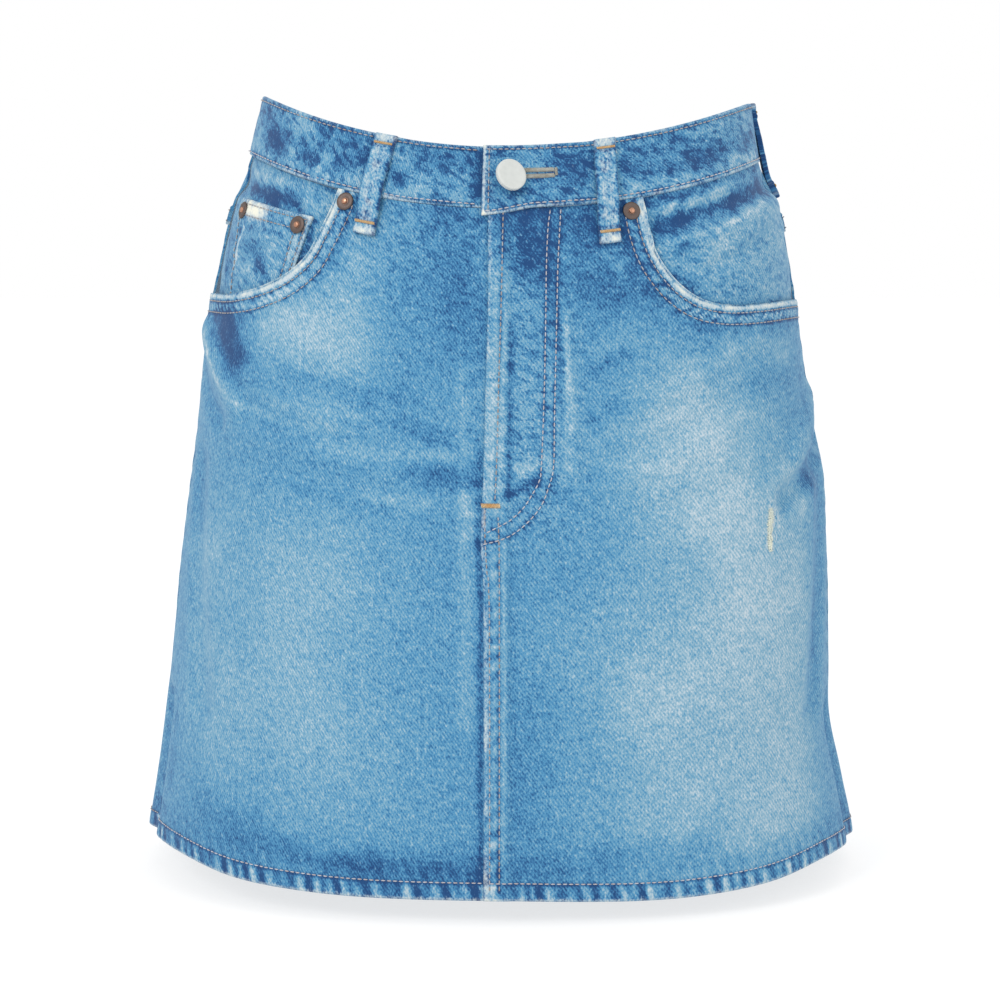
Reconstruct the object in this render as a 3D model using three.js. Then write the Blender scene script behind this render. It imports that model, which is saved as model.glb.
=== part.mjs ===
// A short, straight denim skirt in its worn shape: hollow, with the waist and the hem open.
// Frame: X to the viewer's right and the wearer's left, -Y to the front, +Z up, in millimetres.
// The origin is the centre of the waistband's ring, half way up the band at the sides.
import * as THREE from 'three';

// Thicknesses and seams.
const CLOTH = 1.2;
const SEAM_GAP = 0.3;
const STEP_LENGTH = 0.9;
const HEM_FOLD = 9;
const HEM_RAISE = 0.3;
const HEM_CLOTH = 3;
const FELL_WIDTH = 10;
const FELL_RAISE = 1;

// The waistband: a strip that laps at the front, its ends measured across from the centre front.
const BAND_HEIGHT = 32;
const BAND_CLOTH = 3;
const OVERLAP_END = -11.2;
const UNDERLAP_END = 25;
const OVERLAP_LIFT = 1.8;
const OVERLAP_FLAT_FROM = 45;
const OVERLAP_LIFTED_TO = 29;
const UNDERLAP_SINK = 1.65;
const UNDERLAP_SINKS_FROM = -30;
const UNDERLAP_SUNK_FROM = -14;
const CORNER_DROP = 4;
const CORNER_REACH = 28;

// One front laps over the other along a flat strip beside the centre front.
const LAP_UNDER_EDGE = -0.5;
const LAP_STRIP_END = 1.2;
const LAP_SLOPE = 1.4;
const LAP_RAISE = CLOTH + SEAM_GAP;

// The pocket mouths, and the facings and the coin pocket that show in them.
const RIM_WIDTH = 10;
const RIM_RAISE = 0.7;
const FACING_TUCK = 11;
const LAYER_GAP = 0.5;
const FACING_START = 0.08;
const FACING_PUFF = 1.5;
const FACING_PUFF_REACH = 18;
const COIN_CLOTH = 1;

// Belt loops, button and rivets.
const LOOP_WIDTH = 11;
const LOOP_CLOTH = 1.8;
const LOOP_FOLD = 8;
const LOOP_FOLD_CLOTH = 2.6;
const LOOP_BOW = 1.6;
const LOOP_SETTLES = 10;
const BUTTON_ACROSS = 1.3;
const BUTTON_DOWN = -13.8;
const BUTTON_RADIUS = 8.3;
const BUTTON_NECK = 3.4;
const BUTTON_NECK_RADIUS = 3;
const BUTTON_DEPTH = 2.7;
const BUTTON_TILT = 29;
const RIVET_RADIUS = 4.7;
const RIVET_NUB_RADIUS = 1.5;
const RIVET_HEIGHT = 1.7;
const RIVET_CLEARANCE = 0.4;

// The back: yoke depths from the waist seam, and the patch pockets, outwards from the centre back.
const YOKE_SIDE = 38;
const YOKE_CENTRE = 66;
const BACK_POCKET_CLOTH = 1.2;
const BACK_POCKET_HEM = 13;
const BACK_POCKET_HEM_RAISE = 0.6;
const BACK_POCKET_TOP = { inner: 92, outer: 84 };
const BACK_POCKET_BOTTOM = { inner: 212, outer: 206, point: 16 };

// How finely each piece is divided.
const SEAM_COLUMNS = 7;
const MOUTH_COLUMNS = 16;
const PANEL_ROWS = 16;
const POCKET_COLUMNS = 7;
const SIDE_COLUMNS = 4;
const YOKE_ROWS = 4;
const BAND_COLUMNS = 54;
const FACING_COLUMNS = 12;
const FACING_ROWS = 12;
const COIN_DIVISIONS = 9;
const ROUND_SIDES = 24;
const RIVET_SIDES = 14;

function table(columns, rows) {
  return rows.map((row) => Object.fromEntries(columns.map((column, i) => [column, row[i]])));
}

// The worn cloth at each height: half widths on the -X and +X sides, depths before and behind.
const SECTIONS = table(['height', 'minusX', 'plusX', 'front', 'back'], [
  [-400, 201, 197, 158, 162],
  [-385, 199, 195, 156, 160],
  [-360, 195, 190, 153, 157],
  [-325, 190, 182.5, 148, 153],
  [-290, 185.5, 181.5, 143, 150],
  [-230, 179.5, 180, 134, 145],
  [-175, 172, 175.5, 127, 141],
  [-150, 169, 169.5, 124, 139],
  [-110, 165, 163.5, 120, 134],
  [-75, 157.6, 157.9, 116, 127],
  [-38, 148.3, 149.4, 110, 116],
  [-17, 139.8, 139.6, 103, 107],
  [0, 135.6, 136.3, 100, 103],
  [24, 129.8, 132.5, 96, 99],
]);
const BOXY = 0.16;

// Height of the seam under the waistband at the two sides, the front and the back.
const WAIST_SEAM = { minusX: -14.5, plusX: -18.5, front: -45, back: -39 };

// Height of the hem round the skirt, by degrees from the centre front.
const HEM = table(['turn', 'height'], [
  [-180, -392],
  [-130, -391],
  [-95, -389],
  [-76, -385.3],
  [-60, -387.2],
  [-45, -392.5],
  [-30, -395],
  [0, -396],
  [30, -397.4],
  [45, -395],
  [60, -390.5],
  [76, -390.5],
  [95, -393],
  [130, -392],
  [180, -392],
]);

// Degrees from the centre front at which the side seams lie.
const SIDE_SEAM = table(['height', 'turn'], [
  [-400, 77.5],
  [-250, 81],
  [-100, 85],
  [0, 86],
]);

// The free edge of the fly, then of the lapped centre seam below it.
const LAP_EDGE = table(['down', 'across'], [
  [0, -8.4],
  [50, -8.5],
  [90, -9.6],
  [125, -10.4],
  [150, -11.4],
  [178, -12],
  [192, -9.9],
  [400, -9.9],
]);

// The edge of each pocket mouth, outwards from the centre front, on the -X and +X sides.
const SCOOP_MINUS_X = table(['across', 'down'], [
  [87, 0],
  [91.5, 11],
  [98.5, 25],
  [106, 38],
  [120, 50.8],
  [140, 61.8],
  [165, 70],
  [191, 74],
  [218, 76],
]);
const SCOOP_PLUS_X = table(['across', 'down'], [
  [71.5, 0],
  [73.5, 14],
  [79.5, 30.5],
  [90, 45.5],
  [104, 57],
  [122, 64],
  [148, 68.7],
  [179, 72.3],
  [214, 75.5],
]);

// Corners of the coin pocket, outwards from the centre front on the -X side.
const COIN_POCKET = table(['across', 'down'], [
  [104, 17],
  [168.5, 20.5],
  [121, 58],
  [173, 78],
]);

// The two side edges of a back pocket, outwards from the centre back, carried on above and below it.
const BACK_POCKET_SIDES = table(['down', 'inner', 'outer'], [
  [0, 30, 160],
  [88, 34, 162],
  [209, 41, 155],
  [400, 50, 190],
]);

// The largest folds: a line on the cloth, half the fold's width, and its height, or a trough's depth below 0.
const FOLDS = table(['turn', 'down', 'endTurn', 'endDown', 'reach', 'height'], [
  [-78, 94, -58, 124, 13, 3.2],
  [-85, 110, -64, 137, 11, -2.4],
  [84, 128, 64, 149, 13, 2.4],
  [86, 150, 57, 171.5, 12, -4.2],
  [-72, 166, -60, 283, 17, -2.6],
  [76.5, 168, 66, 286, 17, -2.6],
  [31, 15, 86, 11, 9, -2.4],
  [36, 27, 84, 22, 10, 1.6],
  [-88, 14, -47, 16, 9, -2.2],
  [-78, 300, -78, 385, 17, -4.5],
  [79, 300, 79, 385, 17, -4.5],
  [-102, 290, -106, 385, 30, 4.5],
  [103, 290, 107, 385, 30, 4.5],
  [-145, 280, -148, 385, 40, 5],
  [144, 275, 149, 385, 40, 5],
  [178, 290, 179, 385, 26, -3.5],
  [-112, 128, -150, 150, 14, -3.2],
  [110, 136, 146, 152, 14, -3.4],
  [-118, 152, -158, 172, 16, 2.4],
  [116, 158, 155, 176, 16, 2.2],
]);
const MM_PER_DEGREE = 2.75;
const WAIST_MM_PER_DEGREE = 2.35;

// Belt loops: the way across of the top, middle and bottom of those in front, or the turn of the others.
// Layer is how far the pieces that a loop crosses stand above the cloth.
const BELT_LOOPS = table(['name', 'turn', 'top', 'middle', 'bottom', 'end', 'layer'], [
  ['belt_loop_front_right', null, -60.6, -68.6, -72.8, 20, RIM_RAISE],
  ['belt_loop_front_left', null, 51.6, 52.1, 54.8, 21, 0],
  ['belt_loop_side_right', -104, 0, 0, 0, 20, 0.4],
  ['belt_loop_side_left', 91, 0, 0, 0, 20, 0.4],
  ['belt_loop_back', 180, 0, 0, 0, 20, FELL_RAISE],
]);

const RIVETS = table(['name', 'across', 'down', 'onCoinPocket'], [
  ['rivet_pocket_right', -83.8, 5.6, false],
  ['rivet_pocket_left', 66, 6.2, false],
  ['rivet_coin_inner', -113, 23.5, true],
  ['rivet_coin_outer', -162.5, 26.5, true],
]);

const DENIM = { color: '#6f97b8', roughness: 0.92, metalness: 0 };
const DARK_DENIM = { color: '#4f79a0', roughness: 0.92, metalness: 0 };
const BUTTON = { color: '#d9d8d2', roughness: 0.4, metalness: 0 };
const COPPER = { color: '#8a5a41', roughness: 0.45, metalness: 1 };

const radians = THREE.MathUtils.degToRad;
const degrees = THREE.MathUtils.radToDeg;
const ramp = (from, to, x) => THREE.MathUtils.smoothstep(x, from, to);
const shares = (count) => Array.from({ length: count + 1 }, (_, i) => i / count);
const mix = THREE.MathUtils.lerp;

// A smooth curve through a table's rows, with the slope at each row weighed from both neighbours.
function curve(rows, by, key) {
  const xs = rows.map((row) => row[by]);
  const ys = rows.map((row) => row[key]);
  const last = xs.length - 1;
  const steps = xs.slice(1).map((x, i) => x - xs[i]);
  const rises = steps.map((step, i) => (ys[i + 1] - ys[i]) / step);
  const slopes = xs.map((_, i) => {
    if (i === 0) return rises[0];
    if (i === last) return rises[last - 1];
    return (rises[i - 1] * steps[i] + rises[i] * steps[i - 1]) / (steps[i - 1] + steps[i]);
  });
  return (at) => {
    const x = THREE.MathUtils.clamp(at, xs[0], xs[last]);
    let i = 0;
    while (i < last - 1 && x > xs[i + 1]) i += 1;
    const t = (x - xs[i]) / steps[i];
    const rise = t * t * (3 - 2 * t);
    const bend = steps[i] * t * (1 - t) * ((1 - t) * slopes[i] - t * slopes[i + 1]);
    return mix(ys[i], ys[i + 1], rise) + bend;
  };
}

const halfWidthMinusX = curve(SECTIONS, 'height', 'minusX');
const halfWidthPlusX = curve(SECTIONS, 'height', 'plusX');
const frontDepth = curve(SECTIONS, 'height', 'front');
const backDepth = curve(SECTIONS, 'height', 'back');
const hemHeight = curve(HEM, 'turn', 'height');
const sideSeamTurn = curve(SIDE_SEAM, 'height', 'turn');
const lapEdge = curve(LAP_EDGE, 'down', 'across');
const pocketInner = curve(BACK_POCKET_SIDES, 'down', 'inner');
const pocketOuter = curve(BACK_POCKET_SIDES, 'down', 'outer');

// A point of the plain ring at a height, by the turn in radians from the centre front towards +X.
function ringPoint(turn, height) {
  const wide = turn >= 0 ? halfWidthPlusX(height) : halfWidthMinusX(height);
  const deep = Math.abs(turn) <= Math.PI / 2 ? frontDepth(height) : backDepth(height);
  const sine = Math.sin(turn);
  return new THREE.Vector3(wide * sine, -deep * Math.cos(turn) * (1 + BOXY * sine * sine), height);
}

function ringNormal(turn, height) {
  const step = 1e-3;
  const round = ringPoint(turn + step, height).sub(ringPoint(turn - step, height));
  const rise = ringPoint(turn, height + 1).sub(ringPoint(turn, height - 1));
  return round.cross(rise).normalize();
}

// Lengths along the ring from the centre front for every degree, at levels a few millimetres apart.
const LEVEL_STEP = 5;
const lengthTables = new Map();

function lengthTable(level, side) {
  const key = side * (1000 + level);
  if (!lengthTables.has(key)) {
    const lengths = [0];
    let last = ringPoint(0, level * LEVEL_STEP);
    for (let degree = 1; degree <= 180; degree += 1) {
      const next = ringPoint(side * radians(degree), level * LEVEL_STEP);
      lengths.push(lengths[degree - 1] + next.distanceTo(last));
      last = next;
    }
    lengthTables.set(key, lengths);
  }
  return lengthTables.get(key);
}

function lengthAtDegree(degree, side, height) {
  const level = Math.floor(height / LEVEL_STEP);
  const share = height / LEVEL_STEP - level;
  return mix(lengthTable(level, side)[degree], lengthTable(level + 1, side)[degree], share);
}

// The length along the ring between the centre front and a turn.
function lengthTo(turn, height) {
  const side = turn >= 0 ? 1 : -1;
  const whole = Math.min(Math.floor(degrees(Math.abs(turn))), 179);
  const share = degrees(Math.abs(turn)) - whole;
  return mix(lengthAtDegree(whole, side, height), lengthAtDegree(whole + 1, side, height), share);
}

// The turn at which that length is reached, on the side of the length's sign.
function turnAt(across, height) {
  const side = across >= 0 ? 1 : -1;
  const length = Math.abs(across);
  let low = 0;
  let high = 180;
  while (high - low > 1) {
    const middle = (low + high) >> 1;
    if (lengthAtDegree(middle, side, height) > length) high = middle;
    else low = middle;
  }
  const from = lengthAtDegree(low, side, height);
  const to = lengthAtDegree(high, side, height);
  return side * radians(low + (length - from) / (to - from));
}

function waistSeam(turn) {
  const side = turn >= 0 ? WAIST_SEAM.plusX : WAIST_SEAM.minusX;
  const middle = Math.abs(turn) <= Math.PI / 2 ? WAIST_SEAM.front : WAIST_SEAM.back;
  return side + (middle - side) * Math.cos(turn) ** 2;
}

function foldHeight(turn, down) {
  let sum = 0;
  for (const fold of FOLDS) {
    const along = new THREE.Vector2((fold.endTurn - fold.turn) * MM_PER_DEGREE, fold.endDown - fold.down);
    const apart = ((degrees(turn) - fold.turn + 540) % 360) - 180;
    const here = new THREE.Vector2(apart * MM_PER_DEGREE, down - fold.down);
    const share = THREE.MathUtils.clamp(here.dot(along) / along.lengthSq(), 0, 1);
    const away = here.addScaledVector(along, -share).length() / fold.reach;
    if (away < 1) sum += fold.height * (1 - away * away) ** 2;
  }
  return sum;
}

// A place on the cloth is its side, its way down from the waist seam, and its way across from the
// centre front or its way from the centre back (behind). This gives its turn and height.
function settle({ side, across, behind, down }) {
  let turn = 0;
  let height = WAIST_SEAM.front - down;
  for (let pass = 0; pass < 5; pass += 1) {
    const length = across === undefined ? lengthAtDegree(180, side, height) - behind : across;
    turn = turnAt(side * length, height);
    height = waistSeam(turn) - down;
  }
  return { turn, height };
}

// A cell of a wall: a point on its outer face and the one behind it on its inner face.
function cellAt({ turn, height }, raise, thickness) {
  const normal = ringNormal(turn, height);
  const outer = ringPoint(turn, height)
    .addScaledVector(normal, raise + foldHeight(turn, waistSeam(turn) - height));
  return { outer, inner: outer.clone().addScaledVector(normal, -thickness) };
}

// A closed wall from blocks of rows of cells. Blocks join along the cells they share, and the wall is
// closed along every edge that only one block has. Rows run down and cells towards +X, seen from outside.
function wall(blocks, mirrored = false) {
  const cells = [...new Set(blocks.flat(2))];
  const numbers = new Map(cells.map((cell, i) => [cell, i]));
  const count = cells.length;
  const faces = [];
  const edges = new Map();
  const addFace = (a, b, c) => faces.push(a, b, c);
  const addEdge = (from, to) => {
    if (!edges.delete(to * count + from)) edges.set(from * count + to, [from, to]);
  };
  for (const rows of blocks) {
    for (let j = 0; j + 1 < rows.length; j += 1) {
      for (let i = 0; i + 1 < rows[j].length; i += 1) {
        const corners = [rows[j][i], rows[j + 1][i], rows[j + 1][i + 1], rows[j][i + 1]];
        if (mirrored) corners.reverse();
        const [a, b, c, d] = corners.map((corner) => numbers.get(corner));
        addFace(a, b, c);
        addFace(a, c, d);
        addFace(a + count, c + count, b + count);
        addFace(a + count, d + count, c + count);
        [[a, b], [b, c], [c, d], [d, a]].forEach(([from, to]) => addEdge(from, to));
      }
    }
  }
  for (const [from, to] of edges.values()) {
    addFace(to, from, from + count);
    addFace(to, from + count, to + count);
  }
  const points = [...cells.map((cell) => cell.outer), ...cells.map((cell) => cell.inner)];
  const geometry = new THREE.BufferGeometry();
  geometry.setAttribute('position', new THREE.Float32BufferAttribute(points.flatMap((p) => p.toArray()), 3));
  geometry.setIndex(faces);
  geometry.computeVertexNormals();
  return geometry;
}

// The side seam's way across at a way down from the waist seam.
function sideSeam(side, down) {
  let turn = side * radians(sideSeamTurn(WAIST_SEAM.front - down));
  for (let pass = 0; pass < 3; pass += 1) {
    turn = side * radians(sideSeamTurn(waistSeam(turn) - down));
  }
  return lengthTo(turn, waistSeam(turn) - down);
}

// The edge of a pocket mouth: a share of the way from the waist seam to the side seam, moved inwards.
function mouthEdge(side) {
  const rows = side > 0 ? SCOOP_PLUS_X : SCOOP_MINUS_X;
  const line = new THREE.SplineCurve(rows.map((row) => new THREE.Vector2(row.across, row.down)));
  let end = 1;
  while (line.getPoint(end).x > sideSeam(side, line.getPoint(end).y) - SEAM_GAP / 2) end -= 0.001;
  return (share, inwards) => {
    const point = line.getPoint(share * end);
    const ahead = line.getTangent(share * end);
    const moved = { across: point.x - ahead.y * inwards, down: point.y + ahead.x * inwards };
    if (share === 1) moved.across = sideSeam(side, moved.down) - SEAM_GAP / 2;
    return moved;
  };
}

const mouths = new Map([-1, 1].map((side) => [side, mouthEdge(side)]));
const mouthSamples = new Map([-1, 1].map((side) => [
  side, shares(80).map((share) => ({ edge: mouths.get(side)(share, 0), in: mouths.get(side)(share, 1) })),
]));

// The distance from a place to the pocket mouth's edge, more than 0 in the opening.
function insideMouth(side, across, down) {
  let nearest = Infinity;
  let sign = 1;
  for (const { edge, in: inwards } of mouthSamples.get(side)) {
    const away = Math.hypot(across - edge.across, down - edge.down);
    if (away < nearest) {
      nearest = away;
      sign = Math.hypot(across - inwards.across, down - inwards.down) > away ? 1 : -1;
    }
  }
  return nearest * sign;
}

// The facing's level: tucked under the front panel, then puffed out in the opening. The side with
// the coin pocket tucks lower, so that both fit under the panel.
function facingLevel(side, across, down) {
  const tucked = -CLOTH - LAYER_GAP - (side < 0 ? COIN_CLOTH + LAYER_GAP : 0);
  return tucked + FACING_PUFF * ramp(1, FACING_PUFF_REACH, insideMouth(side, across, down));
}

function coinPocketLevel(across, down) {
  return facingLevel(-1, across, down) + LAYER_GAP + COIN_CLOTH;
}

// How far the waist seam drops towards the overlap's loose corner.
function cornerDrop(across) {
  return CORNER_DROP * (1 - ramp(OVERLAP_END, OVERLAP_END + CORNER_REACH, across));
}

// The way down to a line a little above the hem, in the column that acrossOf gives for each way down.
function downToHem(side, placeOf, above) {
  let down = -WAIST_SEAM.front - HEM[0].height;
  for (let pass = 0; pass < 6; pass += 1) {
    const place = settle(placeOf(down));
    down += place.height - hemHeight(degrees(place.turn)) - above;
  }
  return down;
}

// Rows of a panel that end in the folded hem, with the raise and the thickness of each row.
function panelRows(count) {
  const rows = shares(count).map((share) => ({ share, above: null, raise: 0, thickness: CLOTH }));
  rows.push({ share: 1, above: HEM_FOLD, raise: HEM_RAISE, thickness: HEM_CLOTH });
  rows.push({ share: 1, above: 0, raise: HEM_RAISE, thickness: HEM_CLOTH });
  return rows;
}

// A front panel with its pocket mouth's rim. The +X one laps over the other at the centre front.
function frontPanel(side) {
  const laps = side > 0;
  const start = laps ? LAP_STRIP_END + LAP_SLOPE : -LAP_UNDER_EDGE;
  const edge = mouths.get(side);
  const topOf = (across) => SEAM_GAP + (laps ? cornerDrop(side * across) : 0);
  const mouth = shares(MOUTH_COLUMNS).map((share) => edge(share, RIM_WIDTH + STEP_LENGTH));
  const tops = shares(SEAM_COLUMNS).slice(0, -1).map((share) => ({
    across: mix(start, mouth[0].across, share), down: 0,
  }));
  const columns = [...tops, ...mouth].map((top) => {
    const down = Math.max(top.down, topOf(top.across));
    const share = (top.across - start) / (sideSeam(side, down) - SEAM_GAP / 2 - start);
    const placeOf = (at) => ({ side, across: mix(start, sideSeam(side, at) - SEAM_GAP / 2, share), down: at });
    return { top: down, placeOf, bottom: downToHem(side, placeOf, HEM_FOLD + STEP_LENGTH) };
  });
  const rows = panelRows(PANEL_ROWS).map((row, number) => {
    const places = columns.map((column) => {
      const down = row.above === null
        ? mix(column.top, column.bottom, row.share) : downToHem(side, column.placeOf, row.above);
      return column.placeOf(down);
    });
    const cells = places.map((place) => cellAt(settle(place), row.raise, row.thickness));
    if (!laps) return cells;
    const down = places[0].down;
    const strip = [lapEdge(down), mix(lapEdge(down), LAP_STRIP_END, 0.5), LAP_STRIP_END].map((across) => {
      const place = { side: Math.sign(across), across: Math.abs(across), down: number === 0 ? topOf(across) : down };
      return cellAt(settle(place), row.raise + LAP_RAISE, CLOTH);
    });
    return [...strip, ...cells];
  });
  const rim = [0, RIM_WIDTH].map((inwards) => shares(MOUTH_COLUMNS).map((share) => {
    const place = edge(share, inwards);
    const down = Math.max(place.down, SEAM_GAP);
    return cellAt(settle({ side, across: place.across, down }), RIM_RAISE, CLOTH + RIM_RAISE);
  }));
  return wall([rows, [...rim, rows[0].slice(-MOUTH_COLUMNS - 1)]], side < 0);
}

// The cloth seen in a pocket mouth, tucked under the front panel below and sewn in at the sides and top.
function facing(side) {
  const edge = mouths.get(side);
  const first = edge(FACING_START, FACING_TUCK).across;
  const columns = shares(FACING_COLUMNS).map((share) => {
    const bottom = edge(mix(FACING_START, 1, share), FACING_TUCK);
    const width = sideSeam(side, bottom.down) - SEAM_GAP / 2 - first;
    return { bottom: bottom.down, share: (bottom.across - first) / width };
  });
  const rows = shares(FACING_ROWS).map((rowShare) => columns.map((column) => {
    const down = mix(SEAM_GAP, column.bottom, rowShare);
    const across = mix(first, sideSeam(side, down) - SEAM_GAP / 2, column.share);
    return cellAt(settle({ side, across, down }), facingLevel(side, across, down), CLOTH);
  }));
  return wall([rows], side < 0);
}

// A place between four corners, given as inner top, outer top, inner bottom and outer bottom.
function between(corners, key, outShare, downShare) {
  const [innerTop, outerTop, innerBottom, outerBottom] = corners.map((corner) => corner[key]);
  return mix(mix(innerTop, outerTop, outShare), mix(innerBottom, outerBottom, outShare), downShare);
}

function coinPocket() {
  const rows = shares(COIN_DIVISIONS).map((downShare) => shares(COIN_DIVISIONS).map((outShare) => {
    const across = between(COIN_POCKET, 'across', outShare, downShare);
    const down = between(COIN_POCKET, 'down', outShare, downShare);
    return cellAt(settle({ side: -1, across, down }), coinPocketLevel(across, down), COIN_CLOTH);
  }));
  return wall([rows], true);
}

// Columns of the back pieces, each giving its place at a way down. The +X side has the felled centre
// seam. Out is the column's share of the way over the back pocket.
function backColumns(side) {
  const sideHeight = side > 0 ? WAIST_SEAM.plusX : WAIST_SEAM.minusX;
  const sideEdge = (down) => sideSeam(side, down) + SEAM_GAP / 2;
  const width = (down) => lengthAtDegree(180, side, sideHeight - down) - sideEdge(down);
  const at = (behindAt, out, raise = 0) => ({
    out, raise, placeAt: (down) => ({ side, behind: behindAt(down), down }),
  });
  const columns = [at(() => SEAM_GAP / 2, 0, side > 0 ? FELL_RAISE : 0)];
  if (side > 0) columns.push(at(() => FELL_WIDTH, 0, FELL_RAISE));
  columns.push(at(() => FELL_WIDTH + STEP_LENGTH, 0));
  columns.push(at((down) => mix(FELL_WIDTH, pocketInner(down), 0.5), 0));
  for (const out of shares(POCKET_COLUMNS)) {
    columns.push(at((down) => mix(pocketInner(down), pocketOuter(down), out), out));
  }
  for (const share of shares(SIDE_COLUMNS).slice(1, -1)) {
    columns.push(at((down) => mix(pocketOuter(down), width(down), share), 1));
  }
  columns.push({ out: 1, raise: 0, placeAt: (down) => ({ side, across: sideEdge(down), down }) });
  return columns.map((column, i) => ({ ...column, share: i / (columns.length - 1) }));
}

// The seam between the yoke and the back panel, lowest at the centre back.
function yokeSeam(column) {
  const wide = lengthAtDegree(180, 1, WAIST_SEAM.back - YOKE_CENTRE) - sideSeam(1, YOKE_SIDE);
  const { behind = wide } = column.placeAt(YOKE_CENTRE);
  return mix(YOKE_CENTRE, YOKE_SIDE, Math.min(1, behind / wide));
}

function yoke(side) {
  const columns = backColumns(side);
  const rows = [
    ...shares(YOKE_ROWS).map((share) => ({ share, above: FELL_WIDTH + STEP_LENGTH, raise: 0 })),
    { share: 1, above: FELL_WIDTH, raise: FELL_RAISE },
    { share: 1, above: 0, raise: FELL_RAISE },
  ];
  const cells = rows.map((row) => columns.map((column) => {
    const bottom = yokeSeam(column) - SEAM_GAP / 2 - row.above;
    const raise = Math.max(row.raise, column.raise);
    return cellAt(settle(column.placeAt(mix(SEAM_GAP, bottom, row.share))), raise, CLOTH + raise);
  }));
  return wall([cells], side > 0);
}

// Lines across the back panel, each a way down in every column: from the yoke to the pocket's top,
// over the pocket, and on to the hem.
function backLines(columns, side) {
  const tops = columns.map((column) => yokeSeam(column) + SEAM_GAP / 2);
  const pocketTops = columns.map(({ out }) => mix(BACK_POCKET_TOP.inner, BACK_POCKET_TOP.outer, out));
  const hemEnds = pocketTops.map((down) => down + BACK_POCKET_HEM);
  const hemSteps = hemEnds.map((down) => down + STEP_LENGTH);
  const pocketBottoms = columns.map(({ out }) => {
    const point = BACK_POCKET_BOTTOM.point * (1 - Math.abs(2 * out - 1));
    return mix(BACK_POCKET_BOTTOM.inner, BACK_POCKET_BOTTOM.outer, out) + point;
  });
  const bottoms = columns.map((column) => downToHem(side, column.placeAt, HEM_FOLD + STEP_LENGTH));
  const spread = (from, to, count) => shares(count).slice(1)
    .map((share) => columns.map((_, i) => mix(from[i], to[i], share)));
  const hemLines = [HEM_FOLD, 0].map((above) => columns.map((column) => downToHem(side, column.placeAt, above)));
  const above = [tops, ...spread(tops, pocketTops, 2)];
  const over = [hemEnds, hemSteps, ...spread(hemSteps, pocketBottoms, 6)];
  const below = [...spread(pocketBottoms, bottoms, 6)];
  return { lines: [...above, ...over, ...below, ...hemLines], from: above.length - 1, over: over.length };
}

// A back panel and the patch pocket on it, which takes the panel's own points, moved out.
function backPanelAndPocket(side) {
  const columns = backColumns(side);
  const { lines, from, over } = backLines(columns, side);
  const cells = lines.map((line, number) => columns.map((column, i) => {
    const inHem = number >= lines.length - 2;
    const raise = Math.max(inHem ? HEM_RAISE : 0, column.raise);
    const thickness = inHem ? HEM_CLOTH : CLOTH;
    return cellAt(settle(column.placeAt(line[i])), raise, thickness + column.raise);
  }));
  const first = columns.findIndex((column) => column.placeAt(0).behind === pocketInner(0));
  const pocket = cells.slice(from, from + over + 1).map((row, number) => {
    const thickness = BACK_POCKET_CLOTH + (number < 2 ? BACK_POCKET_HEM_RAISE : 0);
    return row.slice(first, first + POCKET_COLUMNS + 1).map(({ outer, inner }) => {
      const normal = outer.clone().sub(inner).normalize();
      return {
        outer: outer.clone().addScaledVector(normal, SEAM_GAP + thickness),
        inner: outer.clone().addScaledVector(normal, SEAM_GAP),
      };
    });
  });
  return { panel: wall([cells], side > 0), pocket: wall([pocket], side > 0) };
}

// The waistband, from the end that lies on top, round the back, to the end beneath.
function waistband() {
  const turnOf = (across) => turnAt(across, WAIST_SEAM.front + BAND_HEIGHT / 2);
  const stops = (from, to, count) => shares(count).map((share) => mix(from, to, share));
  const wayStops = [
    ...stops(OVERLAP_END, OVERLAP_LIFTED_TO, 5),
    ...stops(OVERLAP_LIFTED_TO, OVERLAP_FLAT_FROM, 2).slice(1),
  ];
  const endStops = [
    ...stops(UNDERLAP_SINKS_FROM, UNDERLAP_SUNK_FROM, 2),
    ...stops(UNDERLAP_SUNK_FROM, UNDERLAP_END, 4).slice(1),
  ];
  const columns = wayStops.map((across) => ({
    turn: turnOf(across),
    level: OVERLAP_LIFT * (1 - ramp(OVERLAP_LIFTED_TO, OVERLAP_FLAT_FROM, across)),
    drop: cornerDrop(across),
  }));
  const from = turnOf(OVERLAP_FLAT_FROM);
  const to = 2 * Math.PI + turnOf(UNDERLAP_SINKS_FROM);
  for (const share of shares(BAND_COLUMNS).slice(1, -1)) {
    const turn = mix(from, to, share);
    columns.push({ turn: turn > Math.PI ? turn - 2 * Math.PI : turn, level: 0, drop: 0 });
  }
  for (const across of endStops) {
    const level = -UNDERLAP_SINK * ramp(UNDERLAP_SINKS_FROM, UNDERLAP_SUNK_FROM, across);
    columns.push({ turn: turnOf(across), level, drop: 0 });
  }
  const rows = shares(3).map((share) => columns.map(({ turn, level, drop }) => {
    const down = mix(-BAND_HEIGHT, drop, share);
    return cellAt({ turn, height: waistSeam(turn) - down }, level + BAND_CLOTH / 2, BAND_CLOTH);
  }));
  return wall([rows]);
}

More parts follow.
